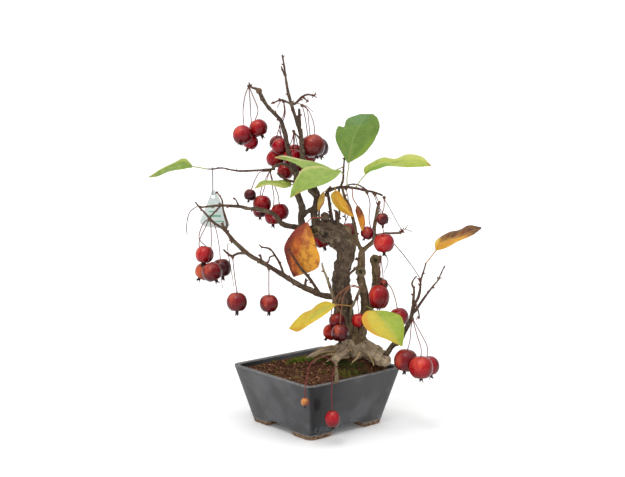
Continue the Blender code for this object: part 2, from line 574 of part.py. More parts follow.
def soil_height(x, y):
    """The height in mm of the soil's top at a place of the pot in mm."""
    half = [size / 2 for size in inner_size(SOIL_LEVEL, POT_WALL)]
    from_wall = min(half[0] - abs(x), half[1] - abs(y))
    share = min(max(from_wall / MOUND_MARGIN, 0.0), 1.0)
    rounded = share * share * (3 - 2 * share)
    away = (x - MOUND_CENTRE[0]) ** 2 + (y - MOUND_CENTRE[1]) ** 2
    return SOIL_LEVEL + MOUND_HEIGHT * rounded * math.exp(-away / MOUND_SPREAD**2)


def make_soil(parts, cutters, root_cutters):
    low = POT_FLOOR + GAP
    high = POT_HEIGHT + 2 * MOUND_HEIGHT
    inset = POT_WALL + GAP
    sizes = inner_size(low, inset), inner_size(high, inset)
    soil = tapered_block("soil", *sizes, low, high, CORNER - POT_WALL / 2, parts)
    rng = random.Random(4)
    bm = bmesh.new()
    bmesh.ops.create_grid(bm, x_segments=SOIL_CELLS, y_segments=SOIL_CELLS, size=POT_TOP[1] / 2)
    for vert in bm.verts:
        vert.co.z = soil_height(vert.co.x, vert.co.y) + rng.uniform(-SOIL_GRAIN, SOIL_GRAIN)
    made = bmesh.ops.extrude_face_region(bm, geom=bm.faces[:])
    for vert in [item for item in made["geom"] if isinstance(item, bmesh.types.BMVert)]:
        vert.co.z = POT_FLOOR / 2
    bmesh.ops.scale(bm, verts=bm.verts, vec=(MM, MM, MM))
    bmesh.ops.recalc_face_normals(bm, faces=bm.faces)
    mound = object_of("soil_mound", mesh_of(bm, "soil_mound"), cutters)
    boolean(soil, "INTERSECT", [mound])
    boolean(soil, "DIFFERENCE", root_cutters, "MANIFOLD")
    soil.data.materials.append(material("soil grains", SOIL, 0.95))
    return soil


def uneven(radii, rng):
    return [radius * (1 + rng.uniform(-BARK_UNEVENNESS, BARK_UNEVENNESS)) * MM for radius in radii]


def spread(points, near, radius):
    """Points (across, down) with near and radius shared out along their length."""
    lengths = [0.0]
    for before, after in zip(points, points[1:]):
        lengths.append(lengths[-1] + math.dist(before, after))
    shares = [length / lengths[-1] for length in lengths]
    nears = [near[0] + (near[1] - near[0]) * share for share in shares]
    radii = [radius[0] + (radius[1] - radius[0]) * share for share in shares]
    return [(*point, depth) for point, depth in zip(points, nears)], radii


def lengthened(places):
    """The same route, a clear gap longer at both ends."""
    first = places[0] + (places[0] - places[1]).normalized() * 2 * GAP * MM
    last = places[-1] + (places[-1] - places[-2]).normalized() * 2 * GAP * MM
    return [first, *places[1:-1], last]


def make_wood(parts, cutters):
    """The trunk with its roots, branches and twigs, and the cutters that seat it in the soil."""
    rng = random.Random(7)
    thick = []
    root_cutters = []
    for number, points in enumerate((TRUNK, *ROOTS, *LOW_STUBS)):
        places = [seen(point) for point in points]
        radii = uneven([point[3] for point in points], rng)
        sides = 10 if number == 0 else 8
        thick.append(tube(f"wood_{number}", places, radii, sides, parts))
        grown = [radius + 1.5 * GAP * MM for radius in radii]
        root_cutters.append(tube(f"root_cutter_{number}", lengthened(places), grown, sides, cutters))
    for number, (sides, near, radius, points) in enumerate(BRANCHES):
        route, radii = spread(points, near, radius)
        places = [seen(point) for point in route]
        thick.append(tube(f"branch_{number}", places, uneven(radii, rng), sides, parts))
    for number, burr in enumerate(BURRS):
        thick.append(ball(f"burr_{number}", seen(burr), burr[3] * MM, parts, level=2 if burr[3] > 5 else 1))
    wood = thick[0]
    boolean(wood, "UNION", thick[1:])
    wood.name = "wood"
    wood.data.materials.append(material("bark", WOOD, 0.85))
    return wood, root_cutters


def surface_of(obj):
    mesh = obj.data
    return BVHTree.FromPolygons([v.co for v in mesh.vertices], [p.vertices for p in mesh.polygons])


def pushed_out(tree, point, distance):
    """The point, moved away from the wood until it is the distance in metres from it."""
    for _ in range(4):
        place, normal, _, away = tree.find_nearest(point)
        outside = (point - place).dot(normal) > 0
        if outside and away >= distance:
            return point
        point = place + normal * (distance * 1.02)
    return point


def seated(tree, point, size):
    """The place of a small ball of the size in mm that rests on the wood nearest to the point."""
    place, normal, _, _ = tree.find_nearest(point)
    return pushed_out(tree, place + normal * (size + GAP) * MM, (size + GAP) * MM)


def stalk_points(tree, points, radius, count):
    """A smooth way from a seat on the wood, bent clear of the wood everywhere else."""
    way = smooth_way(points, count)
    clear = (radius + STALK_CLEARANCE) * MM
    return [way[0]] + [pushed_out(tree, point, clear) for point in way[1:]]


def apple(name, centre, axis, radius, collection):
    """An apple round its centre: a dimple towards the axis and a dried calyx at the other end."""
    bm = bmesh.new()
    bmesh.ops.create_uvsphere(bm, u_segments=APPLE_SIDES, v_segments=6, radius=1)
    for vert in bm.verts:
        if vert.co.z > 0.98:
            vert.co.z = APPLE_DIMPLE
        elif vert.co.z < -0.98:
            vert.co.z = -APPLE_FOOT
    bmesh.ops.scale(bm, verts=bm.verts, vec=(radius, radius, radius))
    crown_centre = -radius * APPLE_FOOT - CALYX_LENGTH * 0.28
    crown = bmesh.ops.create_cone(
        bm, cap_ends=True, segments=6, radius1=min(2.6, radius * 0.33), radius2=1.1, depth=CALYX_LENGTH,
        matrix=Matrix.Translation((0, 0, crown_centre)))
    lobes = [vert for vert in crown["verts"] if vert.co.z < crown_centre]
    for vert in lobes[::2]:
        vert.co.x *= 0.5
        vert.co.y *= 0.5
        vert.co.z += 1.0
    turn = axis.to_track_quat("Z", "Y").to_matrix().to_4x4()
    bmesh.ops.transform(bm, verts=bm.verts, matrix=Matrix.Translation(centre) @ turn @ Matrix.Scale(MM, 4))
    bmesh.ops.recalc_face_normals(bm, faces=bm.faces)
    body, crown_piece = split_loose(bm, name, collection)
    return boolean(body, "UNION", [crown_piece], "MANIFOLD")


def split_loose(bm, name, collection):
    """The two loose bodies of a mesh as two objects, the larger one first."""
    bm.verts.ensure_lookup_table()
    reached = {bm.verts[0]}
    front = [bm.verts[0]]
    while front:
        for edge in front.pop().link_edges:
            for vert in edge.verts:
                if vert not in reached:
                    reached.add(vert)
                    front.append(vert)
    other = bm.copy()
    marked = {vert.index for vert in reached}
    bm.verts.index_update()
    bmesh.ops.delete(bm, geom=[v for v in bm.verts if v not in reached], context="VERTS")
    other.verts.ensure_lookup_table()
    bmesh.ops.delete(other, geom=[v for v in other.verts if v.index in marked], context="VERTS")
    return (object_of(name, mesh_of(bm, name), collection),
            object_of(name + "_calyx", mesh_of(other, name + "_calyx"), collection))


def calyx_axis(centre, radius, calyx):
    """The direction, from the calyx to the stalk, of an apple whose calyx is seen at a place."""
    right = calyx[0] - centre[0]
    down = calyx[1] - centre[1]
    length = math.hypot(right, down)
    toward = math.sqrt(max(0.0, radius**2 - length**2))
    pointing = (ACROSS * right - UPWARD * down + NEARER * toward).normalized()
    return -pointing


def make_bunch(name, spur, apples, tree, parts, colour):
    hub = seated(tree, seen(spur), SPUR_RADIUS)
    body = ball(name, hub, SPUR_RADIUS * MM, parts, level=1)
    rng = random.Random(name)
    pieces = []
    for number, (centre, radius, calyx, way) in enumerate(apples):
        axis = calyx_axis(centre, radius, calyx)
        place = seen(centre)
        pieces.append(apple(f"{name}_apple_{number}", place, axis, radius, parts))
        steps = len(way) + 1
        root = hub + Vector([rng.uniform(-SPUR_SCATTER, SPUR_SCATTER) * MM for _ in range(3)])
        route = [root]
        for step, point in enumerate(way, 1):
            eased = 1 - (1 - step / steps) ** 2
            route.append(seen((*point, spur[2] + (centre[2] - spur[2]) * eased)[:3]))
        route.append(place + axis * radius * 0.98 * MM)
        points = stalk_points(tree, route, STALK_RADIUS, 2 + len(way))
        points.append(place + axis * radius * 0.5 * MM)
        pieces.append(tube(f"{name}_stalk_{number}", points, [STALK_RADIUS * MM] * len(points), 4, parts))
    boolean(body, "UNION", pieces, "MANIFOLD")
    body.data.materials.append(material(name + " skin", colour, 0.25))
    return body


def blade_stations(curve, per_span):
    """Places on a Catmull-Rom curve, the same number between any two of its points."""
    ends = [curve[0] * 2 - curve[1], *curve, curve[-1] * 2 - curve[-2]]
    result = []
    for a, b, c, d in zip(ends, ends[1:], ends[2:], ends[3:]):
        for step in range(per_span):
            result.append(eased_between(a, b, c, d, step / per_span))
    result.append(curve[-1])
    return result


def blade(name, edges, parts):
    """A leaf's blade between two toothed edges and a rib, given thickness on both faces alike."""
    left, rib, right = (blade_stations([seen(point) for point in line], 2) for line in edges)
    bm = bmesh.new()
    rows = []
    for number, spine in enumerate(rib):
        sides = []
        for side, line in ((-1, left), (1, right)):
            reach = line[number] - spine
            inner = min(max(number, 1), len(rib) - 2)
            direction = (line[inner] - rib[inner]).normalized()
            if reach.length < LEAST_HALF_BLADE * MM:
                reach = direction * LEAST_HALF_BLADE * MM
            elif number % 2 == 1:
                reach += direction * TOOTH * MM
            sides.append((reach, side))
        (reach_left, _), (reach_right, _) = sides
        lift = reach_left.cross(rib[min(number + 1, len(rib) - 1)] - rib[max(number - 1, 0)]).normalized()
        wave = lift * BLADE_WAVE * MM * math.sin(1.9 * number)
        places = (spine + reach_left + wave, spine, spine + reach_right - wave)
        rows.append([bm.verts.new(place) for place in places])
    for row, following in zip(rows, rows[1:]):
        for column in range(2):
            bm.faces.new((row[column], row[column + 1], following[column + 1], following[column]))
    bmesh.ops.triangulate(bm, faces=bm.faces[:])
    obj = object_of(name, mesh_of(bm, name), parts)
    solidify = obj.modifiers.new("Thickness", "SOLIDIFY")
    solidify.thickness = BLADE * MM
    solidify.offset = 0.0
    apply_modifiers(obj)
    bm = bmesh.new()
    bm.from_mesh(obj.data)
    bmesh.ops.recalc_face_normals(bm, faces=bm.faces)
    bm.to_mesh(obj.data)
    bm.free()
    return obj


def make_leaf(name, colour, stalk, edges, tree, parts):
    leaf = blade(name, edges, parts)
    rib = edges[1]
    start = seated(tree, seen(stalk[0]), PETIOLE_RADIUS)
    route = [start, *(seen(point) for point in stalk[1:]), seen(rib[0])]
    points = stalk_points(tree, route, PETIOLE_RADIUS, 3 + len(stalk))
    points.append(seen(rib[0]).lerp(seen(rib[1]), 0.6))
    radii = [PETIOLE_RADIUS * MM] * len(points)
    petiole = tube(name + "_petiole", points, radii, 4, parts)
    boolean(leaf, "UNION", [petiole])
    leaf.data.materials.append(material(name + " blade", colour, 0.5))
    return leaf


def make_tag(parts, cutters):
    """A flat label that hangs upright, face to the viewer, and the loop that ties it to its twig."""
    twig = seen((*LOOP_TWIG_AT, TAG_NEAR))
    hole = Vector((twig.x, twig.y, seen((*TAG_HOLE_AT, TAG_NEAR)).z))
    scale = 1 - TAG_NEAR / VIEW_REACH
    facing = Vector((NEARER.x, NEARER.y, 0)).normalized()
    stand = Matrix((ACROSS, Vector((0, 0, 1)), facing)).transposed().to_4x4()
    stand.translation = hole
    curve = bpy.data.curves.new("tag_outline", "CURVE")
    curve.dimensions = "2D"
    curve.fill_mode = "BOTH"
    curve.extrude = TAG_THICKNESS / 2 * MM
    spline = curve.splines.new("POLY")
    spline.points.add(len(TAG_OUTLINE) - 1)
    spline.use_cyclic_u = True
    for knot, (across, down) in zip(spline.points, TAG_OUTLINE):
        knot.co = ((across - TAG_HOLE_AT[0]) * scale * MM, (TAG_HOLE_AT[1] - down) * scale * MM, 0, 1)
    flat = bpy.data.objects.new("tag_outline", curve)
    flat.matrix_world = stand
    parts.objects.link(flat)
    bm = bmesh.new()
    bm.from_mesh(evaluated_mesh(flat))
    bmesh.ops.remove_doubles(bm, verts=bm.verts, dist=1e-6)
    bmesh.ops.recalc_face_normals(bm, faces=bm.faces)
    tag = object_of("tag", mesh_of(bm, "tag"), parts)
    tag.matrix_world = stand
    bpy.data.objects.remove(flat, do_unlink=True)
    bm = bmesh.new()
    radius = TAG_HOLE * MM
    bmesh.ops.create_cone(
        bm, cap_ends=True, segments=16, radius1=radius, radius2=radius, depth=6 * TAG_THICKNESS * MM)
    punch = object_of("tag_punch", mesh_of(bm, "tag_punch"), cutters)
    punch.matrix_world = stand
    boolean(tag, "DIFFERENCE", [punch])
    tag.data.materials.append(material("label plastic", LABEL, 0.4))
    make_loop(twig, hole, facing, parts)


def make_loop(twig, hole, facing, parts):
    """A closed loop of wire that hangs on the twig and runs through the label's hole."""
    top = twig.z + (TWIG_RADIUS + GAP + LOOP_WIRE - LOOP_HALF_WIDTH) * MM
    low = hole.z + (TAG_HOLE - LOOP_WIRE - GAP + LOOP_HALF_WIDTH) * MM
    turns = 8
    points = []
    for level, start in ((top, 0.0), (low, math.pi)):
        for number in range(turns + 1):
            angle = start + math.pi * number / turns
            out = facing * math.cos(angle) * LOOP_HALF_WIDTH * MM
            rise = math.sin(angle) * LOOP_HALF_WIDTH * MM
            points.append(Vector((twig.x, twig.y, level + rise)) + out)
    loop = tube("tag_loop", points, [LOOP_WIRE * MM] * len(points), 6, parts, cyclic=True)
    loop.data.materials.append(material("tie", TIE, 0.5))


def stand_in_the_middle(parts):
    """Parents everything to an empty that puts the middle of the whole tree over the origin."""
    bpy.context.view_layer.update()
    corners = [obj.matrix_world @ Vector(corner) for obj in parts.objects for corner in obj.bound_box]
    middle = [(min(c[axis] for c in corners) + max(c[axis] for c in corners)) / 2 for axis in range(2)]
    place = bpy.data.objects.new("place", None)
    bpy.context.scene.collection.objects.link(place)
    place.location = (-middle[0], -middle[1], 0)
    for obj in parts.objects:
        obj.parent = place


def shade(parts):
    for obj in parts.objects:
        obj.data.shade_smooth()
        obj.data.set_sharp_from_angle(angle=math.radians(50))


def main():
    clear_scene()
    parts = new_collection("Crabapple bonsai")
    cutters = new_collection("Cutters")
    wood, root_cutters = make_wood(parts, cutters)
    make_pot(parts, cutters)
    make_soil(parts, cutters, root_cutters)
    tree = surface_of(wood)
    for name, (spur, apples) in BUNCHES.items():
        make_bunch(name, spur, apples, tree, parts, APPLE_RED)
    for name, (colour, stalk, edges) in LEAVES.items():
        make_leaf(name, colour, stalk, edges, tree, parts)
    make_tag(parts, cutters)
    stand_in_the_middle(parts)
    shade(parts)


main()
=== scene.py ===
# A crabapple bonsai in a dark glazed pot, with its fruit and autumn leaves, dressed around the CAD frame.

import itertools
import math
import random

import bpy
from mathutils import Matrix, Vector, noise
from mathutils.bvhtree import BVHTree
from mathutils.kdtree import KDTree


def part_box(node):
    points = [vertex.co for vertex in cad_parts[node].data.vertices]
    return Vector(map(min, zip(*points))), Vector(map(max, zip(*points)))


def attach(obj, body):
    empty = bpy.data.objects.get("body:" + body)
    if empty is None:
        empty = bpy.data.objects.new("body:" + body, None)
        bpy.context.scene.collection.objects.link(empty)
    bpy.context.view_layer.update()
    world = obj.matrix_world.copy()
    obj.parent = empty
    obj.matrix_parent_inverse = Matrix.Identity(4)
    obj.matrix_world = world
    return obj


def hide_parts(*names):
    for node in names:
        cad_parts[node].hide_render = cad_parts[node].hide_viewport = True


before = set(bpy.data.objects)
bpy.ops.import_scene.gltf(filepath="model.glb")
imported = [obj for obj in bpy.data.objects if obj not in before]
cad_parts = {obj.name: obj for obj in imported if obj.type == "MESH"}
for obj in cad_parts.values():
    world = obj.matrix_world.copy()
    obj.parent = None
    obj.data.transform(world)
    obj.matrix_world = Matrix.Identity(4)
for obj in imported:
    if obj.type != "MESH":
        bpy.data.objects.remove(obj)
bpy.ops.object.select_all(action="DESELECT")
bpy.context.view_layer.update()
mm = 0.001
fullTurn = 6.28  # radians, for turns drawn at random
print("frame loaded:", len(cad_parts), "CAD nodes")

# The tree is drawn full size on a sheet that faces the viewer and passes through the trunk. A place on it
# is mm from the left edge, mm down from the top and mm nearer to the viewer than the sheet.
potLow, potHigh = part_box("pot")
potMiddle = Vector(((potLow.x + potHigh.x) / 2, (potLow.y + potHigh.y) / 2, 0.0))
sheet = {
    "turn": math.radians(49.5),
    "rise": math.radians(7.5),
    "reach": 1100.0,  # from the viewer to the sheet
    "middle": (312.5, 238.5),
    "centre": Vector((-2.9, -3.4, 188.5)),  # the sheet's middle, from the pot's middle on the floor
}
across = Vector((math.cos(sheet["turn"]), math.sin(sheet["turn"]), 0.0))
nearer = Vector((
    math.sin(sheet["turn"]) * math.cos(sheet["rise"]),
    -math.cos(sheet["turn"]) * math.cos(sheet["rise"]),
    math.sin(sheet["rise"]),
))
upward = nearer.cross(across)
sheetMiddle = potMiddle + sheet["centre"] * mm
eye = sheetMiddle + nearer * sheet["reach"] * mm
frontward = Vector((nearer.x, nearer.y, 0)).normalized()


def seen(point):
    # The place in metres of a point of the sheet.
    side, down, near = point[:3]
    offset = across * (side - sheet["middle"][0]) + upward * (sheet["middle"][1] - down)
    return sheetMiddle + (nearer * near + offset * (1 - near / sheet["reach"])) * mm


def tone(red, green, blue):
    # A colour as a screen shows it, 0 to 255, in the linear values that a shader takes.
    return (*((channel / 255) ** 2.2 for channel in (red, green, blue)), 1.0)


def eased(value, low, high):
    share = min(max((value - low) / (high - low), 0.0), 1.0)
    return share * share * (3 - 2 * share)


class Signal:
    # A shader socket that adds, subtracts and multiplies as a number does.
    def __init__(self, paint, socket):
        self.paint = paint
        self.socket = socket

    def reckon(self, operation, first, second):
        return self.paint.node("ShaderNodeMath", {"operation": operation}, {0: first, 1: second})

    def __add__(self, other):
        return self.reckon("ADD", self, other)

    def __radd__(self, other):
        return self.reckon("ADD", other, self)

    def __sub__(self, other):
        return self.reckon("SUBTRACT", self, other)

    def __rsub__(self, other):
        return self.reckon("SUBTRACT", other, self)

    def __mul__(self, other):
        return self.reckon("MULTIPLY", self, other)

    def __rmul__(self, other):
        return self.reckon("MULTIPLY", other, self)

    def __pow__(self, other):
        return self.reckon("POWER", self, other)

    def __mod__(self, other):
        return self.reckon("FLOORED_MODULO", self, other)

    def __abs__(self):
        return self.reckon("ABSOLUTE", self, 0.0)


class Paint:
    # A material: fixed values go on the shader's own sockets, and every other node comes from node().
    def __init__(self, name, fixed):
        self.material = bpy.data.materials.new(name)
        self.material.use_nodes = True
        self.tree = self.material.node_tree
        self.shader = self.tree.nodes["Principled BSDF"]
        for socket, value in fixed.items():
            self.shader.inputs[socket].default_value = value

    def node(self, kind, settings=None, sockets=None, output=0):
        made = self.tree.nodes.new(kind)
        for name, value in (settings or {}).items():
            setattr(made, name, value)
        for name, value in (sockets or {}).items():
            if isinstance(value, Signal):
                self.tree.links.new(value.socket, made.inputs[name])
            else:
                made.inputs[name].default_value = value
        return Signal(self, made.outputs[output])

    def place(self):
        return self.node("ShaderNodeTexCoord", output=3)

    def kept(self, name, output):
        # A value kept on the mesh: output 0 is a colour, 1 a vector and 2 a number.
        return self.node("ShaderNodeAttribute", {"attribute_name": name}, output=output)

    def split(self, vector, axis):
        return self.node("ShaderNodeSeparateXYZ", sockets={0: vector}, output=axis)

    def noise(self, where, size, detail=3.0):
        return self.node("ShaderNodeTexNoise", sockets={
            "Vector": where, "Scale": 1 / size, "Detail": detail})

    def cells(self, where, size):
        return self.node("ShaderNodeTexVoronoi", sockets={"Vector": where, "Scale": 1 / size})

    def smooth(self, value, low, high):
        return self.node("ShaderNodeMapRange", {"interpolation_type": "SMOOTHSTEP"}, {
            "Value": value, "From Min": low, "From Max": high})

    def mix(self, factor, first, second, blend="MIX"):
        settings = {"data_type": "RGBA", "blend_type": blend}
        return self.node("ShaderNodeMix", settings, {0: factor, 6: first, 7: second}, 2)

    def bump(self, height, distance, strength=1.0):
        bumped = self.node("ShaderNodeBump", sockets={
            "Height": height, "Distance": distance, "Strength": strength})
        self.drive("Normal", bumped)

    def drive(self, socket, signal):
        self.tree.links.new(signal.socket, self.shader.inputs[socket])


def pick(*pieces):
    bpy.ops.object.select_all(action="DESELECT")
    for piece in pieces:
        piece.select_set(True)
    bpy.context.view_layer.objects.active = pieces[0]
    return pieces[0]


def shown(name, mesh):
    # A new object at the origin that shows the mesh.
    piece = bpy.data.objects.new(name, mesh)
    bpy.context.scene.collection.objects.link(piece)
    return piece


def named(piece, name):
    piece.name = name
    piece.data.name = name
    return piece


def joined(name, pieces):
    pick(*pieces)
    if len(pieces) > 1:
        bpy.ops.object.join()
    return named(pieces[0], name)


def finishWith(piece, kind, **settings):
    modifier = piece.modifiers.new(kind.title(), kind)
    for name, value in settings.items():
        setattr(modifier, name, value)
    pick(piece)
    bpy.ops.object.modifier_apply(modifier=modifier.name)
    return piece


def settled(piece):
    # Puts the place, turn and size of an object into its mesh.
    pick(piece)
    bpy.ops.object.transform_apply(location=True, rotation=True, scale=True)
    return piece


def objectMode():
    bpy.ops.object.mode_set(mode="OBJECT")


def editingAll(piece):
    # Opens edit mode with every face selected.
    pick(piece)
    bpy.ops.object.mode_set(mode="EDIT")
    bpy.ops.mesh.select_all(action="SELECT")


def editing(piece, test):
    # Opens edit mode with only the points selected that pass the test.
    pick(piece)
    bpy.ops.object.mode_set(mode="EDIT")
    bpy.ops.mesh.select_mode(type="VERT")
    bpy.ops.mesh.select_all(action="DESELECT")
    objectMode()
    for vertex in piece.data.vertices:
        vertex.select = test(vertex.co)
    bpy.ops.object.mode_set(mode="EDIT")


def outward(piece):
    # Merges doubled points and turns every face outward.
    editingAll(piece)
    bpy.ops.mesh.remove_doubles(threshold=0.00001)
    bpy.ops.mesh.normals_make_consistent(inside=False)
    objectMode()
    return piece


def copied(model, matrix):
    # Another of a model, with its own mesh, put in place by the matrix.
    mesh = model.data.copy()
    mesh.transform(matrix)
    return shown(model.name, mesh)


def keep(mesh, name, kind, values):
    # Keeps a value for each point of the mesh: a number, vector or colour.
    layer = mesh.attributes.new(name, kind, "POINT")
    field = {"FLOAT": "value", "FLOAT_VECTOR": "vector", "FLOAT_COLOR": "color"}[kind]
    flat = values if kind == "FLOAT" else [part for value in values for part in value]
    layer.data.foreach_set(field, flat)


def painted(piece, material):
    # Gives the whole piece one material.
    piece.data.materials.clear()
    piece.data.materials.append(material)
    return piece


def softened(piece, degrees):
    # Shades the piece smooth, but not over edges sharper than the angle.
    pick(piece)
    bpy.ops.object.shade_smooth_by_angle(angle=math.radians(degrees))
    return piece


def show(piece, slot, *nodes):
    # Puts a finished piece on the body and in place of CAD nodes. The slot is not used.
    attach(piece, "root")
    if nodes:
        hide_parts(*nodes)


def smoothWay(points, step):
    # Points about a step apart on a smooth curve through the given ones. A fourth value is a radius.
    ends = [points[0] * 2 - points[1], *points, points[-1] * 2 - points[-2]]
    fine = []
    parts = 10
    for a, b, c, d in zip(ends, ends[1:], ends[2:], ends[3:]):
        for part in range(parts):
            t = part / parts
            bend = (2 * a - 5 * b + 4 * c - d) * t**2 + (3 * b - a - 3 * c + d) * t**3
            fine.append(0.5 * (2 * b + (c - a) * t + bend))
    fine.append(points[-1])
    lengths = [0.0]
    for before, after in zip(fine, fine[1:]):
        lengths.append(lengths[-1] + (after - before).length)
    count = max(3, round(lengths[-1] / step) + 1)
    result = []
    index = 0
    for number in range(count):
        target = lengths[-1] * number / (count - 1)
        while index < len(fine) - 2 and lengths[index + 1] < target:
            index += 1
        span = max(lengths[index + 1] - lengths[index], 1e-9)
        result.append(fine[index].lerp(fine[index + 1], (target - lengths[index]) / span))
    return result


def tubes(name, ways, sides, closed=False):
    # One mesh of round tubes along ways, whose points hold a place and a radius.
    curve = bpy.data.curves.new(name, "CURVE")
    curve.dimensions = "3D"
    curve.bevel_depth = 1.0
    curve.bevel_resolution = sides // 2 - 2
    curve.use_fill_caps = not closed
    for way in ways:
        spline = curve.splines.new("POLY")
        spline.points.add(len(way) - 1)
        spline.use_cyclic_u = closed
        for knot, point in zip(spline.points, way):
            knot.co = (*point[:3], 1.0)
            knot.radius = point[3]
    piece = pick(shown(name, curve))
    bpy.ops.object.convert(target="MESH")
    return outward(bpy.context.view_layer.objects.active)


def withRadius(place, radius):
    return Vector((*place, radius * mm))


# The trunk and roots: (across, down, near, radius) from the soil up.
trunk = (
    (356, 374, -29, 9), (356, 362, -27, 14), (357, 352, -25, 16), (354, 343, -23, 14), (350, 334, -21, 12),
    (346, 322, -19, 10.5), (343.5, 310, -17, 9.7), (342.3, 298, -15, 10.4), (341, 283, -12, 9.2),
    (341.5, 270, -10, 8.9), (345, 259, -8, 8.8), (346, 249, -6, 10.4), (342, 240, -4, 13),
    (333, 233, -2, 12.5), (322, 230.5, 0, 10.5), (311, 230.5, 1, 9),
)
roots = (
    ((360, 347, -20, 11), (368, 350.5, -13, 9.5), (376, 354.5, -6, 9), (383, 359, 2, 8), (388, 362, 9, 7)),
    ((346, 348, -24, 8), (333, 350.5, -27, 5.2), (320, 353.5, -30, 4.4), (311, 357.5, -33, 3.2),
     (303, 363, -36, 2)),
    ((358, 349, -32, 9), (353, 351, -43, 5.5), (348, 355, -54, 3), (345, 360, -62, 1.8)),
    ((354, 350, -20, 8), (360, 360, -18, 6), (366, 370, -14, 3.5), (370, 378, -10, 2)),
)
# Low stubs that the soil touches.
lowStubs = (
    ((357, 352, -18, 7), (356, 358, -6, 5.5)),
    ((348, 349, -16, 6), (341, 354, 2, 4.6), (336, 359, 17, 3.8), (335.5, 361, 24, 3)),
)
